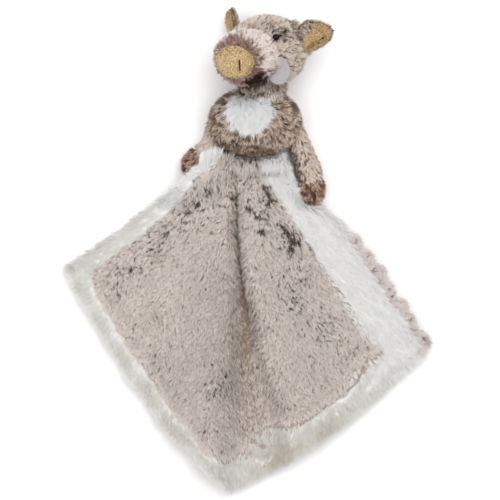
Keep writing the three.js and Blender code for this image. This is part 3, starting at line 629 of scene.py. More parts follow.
def plan_curve(start, end, bow, share):
    """Points along a bowed side of the blanket, in millimetres from the seam's middle."""
    start, end = np.array(start, float), np.array(end, float)
    along = end - start
    outward = np.array([-along[1], along[0]]) / np.linalg.norm(along)
    middle = (np.array(CORNER_TOP) + np.array(CORNER_BOTTOM)) / 2
    if outward @ (start - middle) < 0:
        outward = -outward
    share = share[..., None]
    return start + along * share + outward * bow * 4 * share * (1 - share)


def plan(u, v):
    """Place in plan of a spot on the cloth: u runs from the top corner to the right, v to the left."""
    spot = (
        plan_curve(CORNER_TOP, CORNER_RIGHT, BOW_TOP_RIGHT, u) * (1 - v)[..., None]
        + plan_curve(CORNER_LEFT, CORNER_BOTTOM, BOW_BOTTOM_LEFT, u) * v[..., None]
        + plan_curve(CORNER_TOP, CORNER_LEFT, BOW_TOP_LEFT, v) * (1 - u)[..., None]
        + plan_curve(CORNER_RIGHT, CORNER_BOTTOM, BOW_BOTTOM_RIGHT, v) * u[..., None]
    )
    corners = (
        (CORNER_TOP, (1 - u) * (1 - v)),
        (CORNER_RIGHT, u * (1 - v)),
        (CORNER_LEFT, (1 - u) * v),
        (CORNER_BOTTOM, u * v),
    )
    for corner, weight in corners:
        spot = spot - np.array(corner) * weight[..., None]
    x = SEAM[0] / MM + spot[..., 0]
    y = SEAM[1] / MM + spot[..., 1]
    paw = arm_line("right")[3]
    beside = (y - paw[1] - PAW_RADIUS / 2) / TUCK_HALF_LENGTH
    x = x - TUCK_DEPTH * np.exp(-beside * beside) * np.maximum(0, 1 - v / TUCK_SHARE)
    return x, y


def arm_line(side):
    """The arm's centre line in plan, in millimetres."""
    sign, bends = (1, ARM_RIGHT_BENDS) if side == "right" else (-1, ARM_LEFT_BENDS)
    shoulder = np.array([TORSO[0] / MM + sign * SHOULDER_SIDE, TORSO[1] / MM - SHOULDER_DOWN])
    return [shoulder] + [shoulder + np.array([sign * out, -down]) for out, down in bends]


def distance_to_line(x, y, line):
    """Least distance in plan to a bent line, and the point of the line that is nearest."""
    spot = np.stack([x, y], axis=-1)
    least = np.full(x.shape, 1e9)
    nearest_point = np.zeros(spot.shape)
    for start, end in zip(line[:-1], line[1:]):
        along = end - start
        share = np.clip(((spot - start) @ along) / (along @ along), 0, 1)
        point = start + share[..., None] * along
        distance = np.linalg.norm(spot - point, axis=-1)
        closer = distance < least
        least = np.where(closer, distance, least)
        nearest_point = np.where(closer[..., None], point, nearest_point)
    return least, nearest_point


def traced(points, down):
    """Value at distances down the blanket, on straight lines between the given points."""
    return np.interp(down, [p[0] for p in points], [p[1] for p in points])


def pleat(x, down, share):
    """Height of the long pleat: a soft slope down to the crease and a steeper one up from it."""
    from_crease = x - SEAM[0] / MM - traced(CREASE, down)
    left_width = traced(PLEAT_LEFT, down)
    right_width = traced(PLEAT_RIGHT, down)
    opened = smooth_step(*VALLEY_OPENS, share)
    soft = smooth_step(VALLEY_FLOOR * opened, 1, -from_crease / left_width)
    part = np.clip(from_crease / right_width, 0, 1)
    steep = (1 - (1 - part) ** 3) * (1 - opened) + smooth_step(0, 1, part) * opened
    past = np.maximum(np.maximum(-from_crease - left_width, from_crease - right_width), 0)
    crest = CREST_TOP + (CREST_BOTTOM - CREST_TOP) * share
    return crest * np.where(from_crease < 0, soft, steep) * np.exp(-(past / CREST_FALL) ** 2)


# Soft swells of the cloth: height, size, seed, and the part of the noise that stays flat
SWELLS = ((3.0, 38, 3, 0.45), (1.2, 13, 4, 0.4))

# Short puckers of the cloth, from and to photograph pixels
PUCKERS = [
    ((166, 231), (156, 262)), ((158, 354), (151, 376)), ((156, 307), (159, 320)), ((240, 425), (262, 443)),
    ((344, 396), (362, 366)),
]
PUCKER_DEPTH = 2.2
PUCKER_HALF_WIDTH = 2.4
PUCKER_RIDGE = 1.8
PUCKER_RIDGE_BESIDE = 5.5
PUCKER_RIDGE_HALF_WIDTH = 4.5


def beside_line(place, start, end):
    """Distance in plan to a straight line between two photograph pixels."""
    start, end = from_photo(*start), from_photo(*end)
    along = end - start
    share = np.clip((place[..., :2] - start) @ along / (along @ along), 0, 1)
    return np.linalg.norm(place[..., :2] - start - share[..., None] * along, axis=-1)


def puckered(x, y):
    """Height that the short puckers add: a narrow groove between two soft ridges."""
    place = np.stack([x, y], axis=-1) * MM
    total = np.zeros(x.shape)
    for start, end in PUCKERS:
        gap = beside_line(place, start, end) / MM
        total = total - PUCKER_DEPTH * np.exp(-(gap / PUCKER_HALF_WIDTH) ** 2)
        total = total + PUCKER_RIDGE * np.exp(-((gap - PUCKER_RIDGE_BESIDE) / PUCKER_RIDGE_HALF_WIDTH) ** 2)
    return total


def fold_height(x, y):
    """Height of the blanket's underside over the table, in millimetres."""
    down = SEAM[1] / MM - y
    share = np.clip(down / -CORNER_BOTTOM[1], 0, 1)
    folds = pleat(x, down, share)
    places = np.stack([x, y, np.zeros_like(x)], axis=-1)
    for height, size, seed, flat in SWELLS:
        folds = folds + height * np.maximum(0, soft_noise(places, size, seed) - flat)
    folds = np.maximum(folds + puckered(x, y), 0)
    eased = SEAM_LEVEL + (folds - SEAM_LEVEL) * smooth_step(0, SEAM_EASE, down)
    hung = eased + (folds - eased) * smooth_step(SEAM_NEAR, SEAM_FAR, np.abs(x - SEAM[0] / MM))
    to_arm = distance_to_line(x, y, arm_line("left"))[0] - PAW_RADIUS
    cover = COVER_LEVEL * (1 - smooth_step(COVER_FLAT, COVER_FALL, to_arm))
    return np.maximum(hung, cover)


SIDE_U = math.dist(CORNER_TOP, CORNER_RIGHT)
SIDE_V = math.dist(CORNER_TOP, CORNER_LEFT)
CLOTH_STEP = 2.6
# How far the cloth's free edges lie inside the pile's outline
EDGE_IN = {"top_left": 4, "bottom_right": 4.5, "top_right": 1.5, "bottom_left": 4.8}
EDGE_ROUND = 6.0
ARM_CLEAR = 2.0
SCALLOP = 2.7  # the ruffle's wavelength over two pi
WAVE_REACH = 20  # how far in from a free edge its waves go
WAVE_ACROSS = 3.0
WAVE_UP = 2.5
PUSH_WAY = 1.5 * np.array([-1.0, -0.2])  # how the cloth gives way to the right arm
BACK_LEVELS = (2.2, 4.2)  # each layer's lower and upper height over the blanket's underside
FRONT_LEVELS = (4.4, 6.6)
ALL_SIDES = ("top_left", "bottom_right", "top_right", "bottom_left")
CUT_ABOVE = 1 * MM  # how far above the seam's middle the cloths end


def slab(u_range, v_range, levels, free, scallop=0.0):
    """Points and four-cornered faces of a soft slab between two heights over the underside.

    u_range and v_range are in millimetres from the top corner, and free names its free edges
    by the blanket's sides: top_left (u 0), bottom_right (u end), top_right (v 0), bottom_left.
    """
    (u0, u1), (v0, v1), (low, high) = u_range, v_range, levels
    steps = [np.linspace(a, b, max(4, round((b - a) / CLOTH_STEP))) for a, b in (u_range, v_range)]
    u, v = np.meshgrid(*steps, indexing="ij")
    gaps = {"top_left": u - u0, "bottom_right": u1 - u, "top_right": v - v0, "bottom_left": v1 - v}
    inward = np.minimum.reduce([np.full(u.shape, 1e9)] + [gaps[side] for side in free])
    cloth_place = np.stack([u, v, np.zeros_like(u)], axis=-1)
    near_edge = 1 - smooth_step(0, WAVE_REACH, inward)
    wave = WAVE_ACROSS * (soft_noise(cloth_place, 17, 9) - 0.5) * np.cos(math.pi * v / SIDE_V)
    v_wavy = v + (wave + scallop * np.sin(u / SCALLOP)) * near_edge
    x, y = plan(u / SIDE_U, v_wavy / SIDE_V)
    distance, point = distance_to_line(x, y, arm_line("right"))
    push = np.maximum(0, PAW_RADIUS + ARM_CLEAR - distance)
    away = unit(np.stack([x, y], axis=-1) - point)
    away = np.where((push > 0)[..., None], unit(away + PUSH_WAY), away)
    x = x + push * away[..., 0]
    y = y + push * away[..., 1]
    base = fold_height(x, y) + WAVE_UP * near_edge * soft_noise(cloth_place, 23, 10) + scallop * near_edge
    rounding = np.sqrt(1 - (1 - np.clip(inward / EDGE_ROUND, 0, 1)) ** 2)
    middle = (low + high) / 2
    top = base + middle + (high - middle) * rounding
    bottom = base + middle - (middle - low) * rounding
    points = np.concatenate([np.stack([x, y, z], axis=-1).reshape(-1, 3) for z in (top, bottom)]) * MM
    grid = np.arange(u.size).reshape(u.shape)
    a, b, c, d = grid[:-1, :-1], grid[1:, :-1], grid[1:, 1:], grid[:-1, 1:]
    upper = np.stack([a, d, c, b], axis=-1).reshape(-1, 4)
    lower = np.stack([a, b, c, d], axis=-1).reshape(-1, 4) + u.size
    rim = np.concatenate([grid[:, 0], grid[-1, 1:], grid[-2::-1, -1], grid[0, -2:0:-1]])
    after = np.roll(rim, -1)
    around = np.stack([rim, after, after + u.size, rim + u.size], axis=-1)
    return points, np.concatenate([upper, lower, around])


def trimmed(u_range, v_range, free):
    """The ranges of a piece of cloth, drawn in at its free edges."""
    inset = {side: EDGE_IN[side] * (side in free) for side in ALL_SIDES}
    return (
        (u_range[0] + inset["top_left"], u_range[1] - inset["bottom_right"]),
        (v_range[0] + inset["top_right"], v_range[1] - inset["bottom_left"]),
    )


def cut_at_seam(obj):
    """Turns the faces of a blanket layer outwards and ends it just above the waist seam."""
    shape = bmesh.new()
    shape.from_mesh(obj.data)
    bmesh.ops.recalc_face_normals(shape, faces=shape.faces)
    cut = bmesh.ops.bisect_plane(
        shape, geom=[*shape.verts, *shape.edges, *shape.faces],
        plane_co=(0, SEAM[1] + CUT_ABOVE, 0), plane_no=(0, 1, 0), clear_outer=True,
    )
    edges = [e for e in cut["geom_cut"] if isinstance(e, bmesh.types.BMEdge)]
    if edges:
        bmesh.ops.holes_fill(shape, edges=edges, sides=0)
    shape.to_mesh(obj.data)
    shape.free()


def blanket_layer(node, u_range, v_range, levels, kind, free, scallop=0.0):
    """One cloth of the blanket, in place of its CAD node."""
    u_range, v_range = trimmed(u_range, v_range, free)
    obj = mesh_object(node + "_cloth", *slab(u_range, v_range, levels, free, scallop), materials[kind])
    cut_at_seam(obj)
    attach(obj, "blanket")
    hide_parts(node)
    return obj


def front_skin():
    """The whole front as one surface, so that the pile runs on over the seams between its cloths."""
    ranges = trimmed((0, SIDE_U), (BACK_SHOWS, SIDE_V), ALL_SIDES)
    guide = mesh_object("front_guide", *slab(*ranges, FRONT_LEVELS, ALL_SIDES), materials["white_backing"])
    cut_at_seam(guide)
    skin = surface(guide)
    bpy.data.objects.remove(guide)
    return skin


# How the blanket's pile lies, and where it grows

FAN_TOP = np.array([SEAM[0], SEAM[1] + 60 * MM, 0])  # where the lines of the blanket's pile meet
IN_PLAN = np.array([1, 1, 0])  # takes the height out of a direction


def from_top(spread):
    """Pile that fans out from the waist down the blanket."""
    def comb(place, normal):
        x, y, z = unit((place - FAN_TOP) * IN_PLAN).T
        angle = (soft_noise(place, 22 * MM, 31) - 0.5) * spread
        cos, sin = np.cos(angle), np.sin(angle)
        return np.stack([x * cos - y * sin, x * sin + y * cos, z], axis=1)
    return comb


BLANKET_MIDDLE = np.array([*from_photo(245, 300), 0])
OUTWARD_SHARE = 0.45
ARM_FRINGE = 16 * MM  # how near the right arm the border's pile turns towards it
ARM_FRINGE_WAY = np.array([1.6, 0.3, 0])


def border_comb(place, normal):
    """Border pile that lies down the blanket, and out over its nearest edge or the right arm."""
    outward = unit((place - BLANKET_MIDDLE) * IN_PLAN)
    to_arm = distance_to_line(place[:, 0] / MM, place[:, 1] / MM, arm_line("right"))[0]
    near = 1 - smooth_step(0.6 * ARM_FRINGE, ARM_FRINGE, to_arm * MM)
    sideways = near[:, None] * ARM_FRINGE_WAY
    return unit(from_top(0.4)(place, normal) + OUTWARD_SHARE * outward + sideways)


def facing_up(place, normal):
    return (normal[:, 2] > -0.1).astype(float)


def facing_down(place, normal):
    return (normal[:, 2] < -0.3).astype(float)


def within(place, outline, unevenness=5, patch=6 * MM, seed=43):
    """1 where points lie inside an outline of photograph pixels, with an uneven edge, and 0 beyond."""
    x, y = to_photo(place)
    x = x + unevenness * (soft_noise(place, patch, seed) - 0.5)
    y = y + unevenness * (soft_noise(place, patch, seed + 1) - 0.5)
    inside = np.zeros(len(place), bool)
    previous = outline[-1]
    for corner in outline:
        (x0, y0), (x1, y1) = previous, corner
        if y0 != y1:
            crossing = x0 + (y - y0) * (x1 - x0) / (y1 - y0)
            inside ^= ((y0 > y) != (y1 > y)) & (x < crossing)
        previous = corner
    return inside.astype(float)


def over(outline, lowest=-2, unevenness=5, patch=6 * MM, seed=43):
    """Pile inside an outline of photograph pixels, where the normal's Z is above the lowest."""
    return lambda place, normal: within(place, outline, unevenness, patch, seed) * (normal[:, 2] > lowest)


def outside(where):
    """Pile where another pile leaves off."""
    return lambda place, normal: 1 - where(place, normal)


def all_of(*shares):
    """Pile where several conditions hold."""
    return lambda place, normal: math.prod(share(place, normal) for share in shares)


# Visible outline of the centre panel's frosted pile, in the photograph's pixels
CENTRE_OUTLINE = [
    (218, 150), (215, 163), (203, 174), (165, 216), (126, 248), (95, 274), (92, 287), (101, 311),
    (116, 331), (126, 346), (149, 376), (172, 415), (190, 433), (204, 456), (222, 464), (241, 453),
    (254, 438), (268, 425), (287, 428), (310, 419), (344, 396), (353, 373), (365, 362), (382, 352),
    (364, 340), (350, 318), (334, 291), (317, 263), (302, 239), (284, 212), (274, 191), (262, 167),
    (258, 150),
]
STRAND_DRIFT = 3.5 * MM  # how far a strand's middle lies from its root


def frosted_share(place, normal=None):
    """1 where the strand's middle lies over the centre panel and 0 beyond."""
    return within(place + STRAND_DRIFT * unit((place - FAN_TOP) * IN_PLAN), CENTRE_OUTLINE)


# Dark tufts of the centre panel, and patches with many dark streaks
DARK_TUFTS = [
    (265, 184, 3), (266, 191, 3.5), (268, 199, 3.5), (281, 225, 3.5), (286, 232, 4), (291, 239, 4),
    (289, 247, 3.5), (296, 241, 3), (257, 213, 2.5), (261, 229, 3), (249, 207, 2.5), (236, 190, 3),
    (209, 187, 3), (198, 200, 3), (191, 210, 2.5), (168, 232, 3), (133, 268, 3),
]
STREAKED = [
    (152, 246, 16), (132, 266, 16), (112, 288, 12), (262, 205, 12), (288, 240, 16), (290, 300, 16),
    (318, 330, 18), (300, 275, 12), (345, 350, 12), (190, 212, 14), (230, 195, 10), (175, 228, 12),
    (248, 270, 10), (214, 385, 10),
]
CENTRE_SHADES = [(185, 375, 34)]  # where the panel's pale pile is a little darker
HEM = 6 * MM  # width of the panel's paler rim, without dark tufts
PUCKER_SHADE_LINE = 1.3 * MM  # half-width of the painted shade line in a pucker's groove
CREASE_SHADE_LINE = 1.8  # half-width of the painted shade line along the crease, in millimetres as the next two
SLOPE_LEFT = 26  # how far left of the crease the middle of the slope with painted shade lies
SLOPE_HALF_WIDTH = 18

# Half-width in millimetres and strength of the painted shade in the valley, a warm brown, by the
# photograph's row
VALLEY_SHADE_WIDTHS = [(150, 4), (200, 4), (310, 7), (380, 18), (450, 26)]
VALLEY_SHADE_DEPTHS = [(150, 0.4), (200, 0.6), (300, 0.95), (340, 0.85), (380, 0.35), (450, 0.05), (500, 0.1)]


def past_crease(place):
    """How far points lie to the right of the blanket's crease, in millimetres."""
    return (place[:, 0] - SEAM[0]) / MM - traced(CREASE, (SEAM[1] - place[:, 1]) / MM)


def centre_tone(place, luck):
    """Pale pile with dark streaks, more of them in patches, and painted shade: dark strands in the puckers
    and along the pleat's crease, and a darker slope left of the crease.
    """
    y = to_photo(place)[1]
    share = 0.015 + 0.07 * (1 - smooth_step(170, 260, y)) + 0.18 * spots(place, STREAKED)
    share = share * 2 * soft_noise(place, 5 * MM, 41) + 1.3 * spots(place, DARK_TUFTS)
    # Painted shade: dark strands along each pucker's groove
    for start, end in PUCKERS:
        share = share + 0.6 * np.exp(-(beside_line(place, start, end) / PUCKER_SHADE_LINE) ** 2)
    right = past_crease(place)
    # Painted shade: a dark line along the crease's upper part
    line = np.exp(-(right / CREASE_SHADE_LINE) ** 2)
    line = line * smooth_step(165, 195, y) * (1 - smooth_step(290, 320, y))
    # Painted shade on the slope that falls left into the crease
    slope = np.exp(-((right + SLOPE_LEFT) / SLOPE_HALF_WIDTH) ** 2)
    slope = slope * smooth_step(200, 300, y) * (1 - smooth_step(380, 440, y))
    veil = 0.16 * (soft_noise(place, 5 * MM, 42) - 0.5) - 0.14 * slope
    veil = veil - 0.12 * spots(place, CENTRE_SHADES)
    inner = frosted_share(place + HEM * unit((place - SEAM) * IN_PLAN))
    hem = (1 - inner) * smooth_step(240, 300, y)
    share = share * (1 - hem)
    return np.where(luck < share + 1.1 * line, 0.1 * luck, 0.74 + 0.26 * luck + veil + 0.15 * hem)


def valley_shade_share(place, normal):
    """Share of warm brown pile that paints the shade along the left of the crease, broad and faint lower
    down.
    """
    y = to_photo(place)[1]
    half_width = traced(VALLEY_SHADE_WIDTHS, y)
    left = (past_crease(place) + 0.6 * half_width) / half_width
    return traced(VALLEY_SHADE_DEPTHS, y) * np.exp(-left ** 2)


# Parts of the white border with painted shade
BORDER_SHADES = [
    (100, 245, 34), (140, 215, 24), (70, 262, 16), (330, 425, 30), (285, 450, 26), (385, 400, 24),
    (176, 425, 20), (84, 290, 16), (100, 322, 18), (122, 356, 20), (148, 392, 20),
]


def white_tone(place, luck):
    """White pile with a few darker strands, creamier and darker where shade is painted, and creamier
    towards the bottom corner.
    """
    y = to_photo(place)[1]
    veil = 0.28 * smooth_step(380, 470, y) + 0.12 * soft_noise(place, 12 * MM, 51)
    veil = veil + 0.38 * spots(place, BORDER_SHADES)
    return np.where(luck < 0.03, 0.55, 0.99 - 0.25 * luck - veil)


# Where the back layer's rim shows as a pale ruffle, where it is white, and the ruffle's dark streaks
RUFFLE_OUTLINE = [
    (337, 232), (345, 232), (362, 240), (395, 275), (440, 325), (442, 358), (424, 368), (418, 350),
    (412, 338), (407, 328), (393, 313), (373, 298), (357, 277), (339, 250),
]
CORNER_OUTLINE = [(414, 348), (426, 334), (436, 340), (434, 352), (424, 364), (413, 366)]
WHITE_RIM = [(300, 190), (330, 205), (352, 236), (337, 236), (318, 210), (306, 200)]
RUFFLE_DARKS = [(347, 247, 3), (369, 273, 3), (376, 284, 3), (390, 300, 3), (404, 317, 2), (423, 342, 2)]

# Where pile stands up against the torso, beside it and at the waist's two ends
TONGUE_OUTLINE = [(199, 158), (218, 157), (218, 168), (204, 176), (197, 174)]
COLLAR_LEFT = [(216, 156), (229, 156), (229, 168), (216, 170)]
COLLAR_RIGHT = [(283, 156), (299, 156), (299, 168), (283, 168)]
FRINGE_REACH = 22  # how far from the right arm's middle line its fringe of white pile starts
FRINGE_END = 205  # row of the photograph at which the fringe ends


def ruffle_tone(place, luck):
    dark = 0.9 * spots(place, RUFFLE_DARKS)
    return np.where(luck < 0.02 + 0.6 * dark, 0.1, 0.97 - 0.15 * soft_noise(place, 6 * MM, 52))


def beside_arm(place, normal):
    gap, point = distance_to_line(place[:, 0] / MM, place[:, 1] / MM, arm_line("right"))
    y = to_photo(place)[1]
    near = (gap < FRINGE_REACH) & (place[:, 0] / MM < point[:, 0]) & (y < FRINGE_END)
    return near * (normal[:, 2] > -0.3)


def make_blanket_cloths():
    """The blanket's six cloths. Gives back the lowest."""
    inner_u = (BORDER_TOP_LEFT, SIDE_U - BORDER_BOTTOM_RIGHT)
    inner_v = (BACK_SHOWS + BORDER_TOP_RIGHT, SIDE_V - BORDER_BOTTOM_LEFT)
    back = blanket_layer(
        "blanket_back", (0, SIDE_U), (0, SIDE_V), BACK_LEVELS, "rose_backing", ALL_SIDES,
        scallop=1.3,
    )
    blanket_layer("blanket_centre", inner_u, inner_v, FRONT_LEVELS, "pale_backing", ())
    for node, u_range, v_range, free in (
        ("border_top_left", (0, inner_u[0]), inner_v, ("top_left",)),
        ("border_bottom_right", (inner_u[1], SIDE_U), inner_v, ("bottom_right",)),
        ("border_top_right", (0, SIDE_U), (BACK_SHOWS, inner_v[0]), ALL_SIDES[:3]),
        ("border_bottom_left", (0, SIDE_U), (inner_v[1], SIDE_V), (*ALL_SIDES[:2], ALL_SIDES[3])),
    ):
        blanket_layer(node, u_range, v_range, FRONT_LEVELS, "white_backing", free)
    return back


def make_blanket():
    skin = surface(make_blanket_cloths())
    front = front_skin()
    pile(
        "border_pile", front, "blanket", "white", 60, density=5, length=10 * MM, width=0.38 * MM,
        lift=(28, 5), comb=border_comb, tone=white_tone, tuft=14, pull=0.45, scatter=12, ragged=0.06,
        softness=0.7, skyward=0.5, where=all_of(facing_up, outside(frosted_share)),
    )
    # The centre's frosted pile, and warm brown pile that paints the shade in the pleat's valley
    for name, kind, seed, share in (
        ("blanket_centre_pile", "frosted", 70, outside(valley_shade_share)),
        ("blanket_valley_shade_pile", "valley", 75, valley_shade_share),
    ):
        pile(
            name, front, "blanket", kind, seed, density=5, length=6.5 * MM, width=0.46 * MM,
            lift=(64, 24), comb=from_top(1.0), tone=centre_tone, pull=0.35, fleck=0.1, pinch=0.55,
            where=all_of(facing_up, frosted_share, share),
        )
    pile(
        "blanket_back_pile", skin, "blanket", "ruffle", 71, density=1.1, length=7 * MM, width=0.9 * MM,
        lift=(25, 5), comb=from_top(1.0), tone=sprinkled(0.05, 0.5, 0.9), pull=0.5, scatter=16,
        where=facing_down,
    )
    pile(
        "blanket_ruffle_pile", skin, "blanket", "ruffle", 72, density=9, length=7 * MM, width=0.34 * MM,
        lift=(55, 14), comb=towards((0.85, 0.3, 0)), tone=ruffle_tone, tuft=5, pull=0.15, scatter=10,
        ragged=0.06, skyward=0.3, where=over(RUFFLE_OUTLINE, -0.4),
    )
    pile(
        "blanket_rim_pile", skin, "blanket", "white", 73, density=6, length=8 * MM, width=0.36 * MM,
        lift=(50, 12), comb=towards((0.8, -0.1, 0)), tone=white_tone, pull=0.2, scatter=10,
        ragged=0.06, skyward=0.5, where=over(WHITE_RIM, -0.4),
    )
    pile(
        "blanket_corner_pile", joined([skin, front]), "blanket", "ruffle", 76, density=5, length=10 * MM,
        width=0.36 * MM, lift=(45, 8), comb=towards((0.9, -0.4, 0)), tone=ruffle_tone, pull=0.2,
        scatter=14, ragged=0.06, skyward=0.4, where=over(CORNER_OUTLINE, -0.2),
    )
    # White pile that closes the gap to the right arm
    pile(
        "blanket_fringe_pile", front, "blanket", "white", 77, density=5, length=10 * MM, width=0.38 * MM,
        lift=(50, 15), comb=towards((1, -0.25, 0)), tone=white_tone, pull=0.3, scatter=12,
        skyward=0.5, where=beside_arm,
    )
    for name, kind, seed, tone, outline in (
        ("blanket_collar_pile", "frosted", 78, centre_tone, COLLAR_LEFT),
        ("blanket_white_collar_pile", "white", 79, white_tone, COLLAR_RIGHT),
    ):
        pile(
            name, front, "blanket", kind, seed, density=6, length=13 * MM, width=0.38 * MM, lift=(40, 12),
            comb=towards((0, 1, 0)), tone=tone, tuft=7, pull=0.4, scatter=12, skyward=0.3,
            where=over(outline, -0.2, 3),
        )
    # White pile that runs up beside the torso, over the left arm's root
    pile(
        "blanket_tongue_pile", front, "blanket", "white", 74, density=6, length=15 * MM, width=0.38 * MM,
        lift=(28, 4), comb=towards((0.25, 1, 0)), tone=white_tone, pull=0.2, scatter=8, ragged=0.2,
        skyward=0.5, levels=LEVELS_LONG, where=over(TONGUE_OUTLINE, 0.3, 2),
    )


# Body and arms

# Outline of the white patch on the belly, in the photograph's pixels, and how far down it reaches
BELLY_OUTLINE = [
    (237, 98), (246, 94), (260, 94), (268, 97), (270, 107), (269, 117), (264, 124), (257, 129),
    (248, 130), (240, 127), (233, 121), (230, 112), (232, 104),
]
BELLY = middle_of("belly_patch")
BELLY_DEPTH = 14 * MM

# Darker places of the torso's pile: dark patches of its fur, and painted shade along its lower edge over
# the blanket
TORSO_SHADES = [
    (227, 143, 9), (219, 117, 4), (303, 108, 4), (268, 153, 7), (250, 152, 7), (230, 97, 5),
    (240, 149, 8), (259, 147, 6), (213, 132, 5), (289, 106, 4),
]


def in_belly(place, normal):
    """1 where a root on the torso belongs to the white patch."""
    return within(place, BELLY_OUTLINE, 4, 4 * MM, 61) * (place[:, 2] > BELLY[2] - BELLY_DEPTH)


def torso_share(place):
    return 0.46 + 0.6 * (soft_noise(place, 4 * MM, 62) - 0.5)


def make_torso():
    nodes = ("torso_skin", "torso_stuffing", "belly_patch")
    skin = surface(stuffed_body("torso_cloth", nodes, "torso", 2.2 * MM, 4.2 * MM))
    pile(
        "torso_pile", skin, "torso", "tipped", 80, density=5, length=8.2 * MM, width=0.56 * MM,
        lift=(56, 6), comb=away_from(BELLY - np.array([0, 0, 12 * MM]), (0, -0.35, 0)), tuft=9,
        tone=shaded(torso_share, TORSO_SHADES, 0.7, 0.05, 0.3, 0.95), pull=0.9, scatter=26,
        softness=0.45, fleck=0.1, where=outside(in_belly),
    )
    pile(
        "belly_pile", skin, "torso", "white", 81, density=7, length=9 * MM, width=0.38 * MM,
        lift=(42, 12), comb=away_from(BELLY + np.array([-8 * MM, 22 * MM, -10 * MM])),
        tone=sprinkled(0.08, 0.6, 0.9, 8 * MM, 63), tuft=9, pull=0.4, scatter=16, skyward=0.2,
        where=in_belly,
    )


def make_small_body(
    name, nodes, body, voxel, inset, kind, seed, length, comb, tone, density=4.4, where=None,
):
    """A stuffed piece with its pile. Gives back its surface."""
    skin = surface(stuffed_body(name + "_cloth", nodes, body, voxel, inset))
    pile(
        name + "_pile", skin, body, kind, seed, density=density, length=length,
        width=0.48 * MM, lift=(55, 20), comb=comb, tone=tone, tuft=7, pull=0.55, fleck=0.14,
        softness=0.55, where=where, pinch=0.6,
    )
    return skin


# Darker places along the inner side of the right arm: a dark streak of its fur, and painted shade where it
# lies against the body
ARM_SHADES = [(290, 146, 6), (294, 152, 6), (298, 161, 4), (301, 171, 4), (303, 178, 3)]
PAW_LENGTH = 21  # millimetres of rust-brown pile before an arm's end


def arm_share(place):
    return 0.07 * (2 * soft_noise(place, 8 * MM, 65))


def make_arm(side):
    body = f"arm_{side}"
    nodes = (f"arm_skin_{side}", f"arm_stuffing_{side}", f"paw_{side}")
    skin = surface(stuffed_body(body + "_cloth", nodes, body, 1.5 * MM, 2.4 * MM))
    line = [np.array([*p, 0]) * MM for p in arm_line(side)]
    along = unit(line[3] - line[2])
    cut = line[3] + along * (PAW_RADIUS - PAW_LENGTH) * MM
    comb = towards(unit(line[3] - line[0]))

    def on_paw(place, normal):
        return ((place - cut) @ along + 2 * MM * (soft_noise(place, 4 * MM, 64) - 0.5) > 0).astype(float)

    pile(
        f"arm_{side}_pile", skin, body, "coat", 90, density=5, length=5 * MM, width=0.48 * MM,
        lift=(55, 22), comb=comb, tone=shaded(arm_share, ARM_SHADES, 0.9, 0.12, 0.4, 0.96), tuft=8,
        pull=0.4, scatter=16, fleck=0.12, pinch=0.6, skyward=0.3, where=outside(on_paw),
    )
    pile(
        f"paw_{side}_pile", skin, body, "rust", 91, density=5, length=5.6 * MM, width=0.5 * MM,
        lift=(60, 28), comb=comb, tone=sprinkled(0.35, 0.05, 0.95, 5 * MM, 66), tuft=10, pull=0.8,
        scatter=34, fleck=0.12, where=on_paw,
    )


# Head

def head_comb(place, normal):
    """Pile that runs from the snout back over the head."""
    sideways = np.sign(in_head(place)[:, 0])
    back = np.broadcast_to(np.array([0, -0.25, -1]), place.shape) + 0.0
    back[:, 0] = 0.3 * sideways
    return from_head(back)


def muzzle_comb(place, normal):
    """Pile that stands round the snout pad and turns back along the muzzle."""
    ray = in_head(place)
    ray[:, 2] = -12 * MM
    return from_head(unit(ray))


# Darker places of the head's pile: dark fur at the brow and temples, and painted shade in the cheek crease,
# the mouth and under the jaw
HEAD_SHADES = [
    (266, 29, 3), (281, 40, 3), (297, 39, 4), (276, 60, 4), (253, 78, 6),
    (243, 84, 6), (300, 72, 5), (293, 85, 4), (262, 84, 5), (298, 58, 4),
]

# The mouth under the snout, where dark pile paints the shadow in its gap, and the muzzle's side whose pile
# hides the tusk's root
MOUTH_OUTLINE = [(242, 78), (250, 72), (261, 70), (264, 78), (257, 85), (246, 85)]
CHEEK_OUTLINE = [(264, 56), (280, 56), (280, 72), (272, 82), (264, 80)]
CHEEK_LEVEL = 52 * MM


def muzzle_share(place):
    """Dark in a ring round the snout pad, paler along the muzzle."""
    gap = np.linalg.norm(place - SNOUT, axis=1) - SNOUT_RADIUS
    ring = 1 - smooth_step(0, 7 * MM, gap + 5 * MM * (soft_noise(place, 3 * MM, 71) - 0.5))
    return 0.2 * soft_noise(place, 4 * MM, 74) + 0.9 * ring


def head_share(place):
    return 0.14 * (2 * soft_noise(place, 5 * MM, 72))


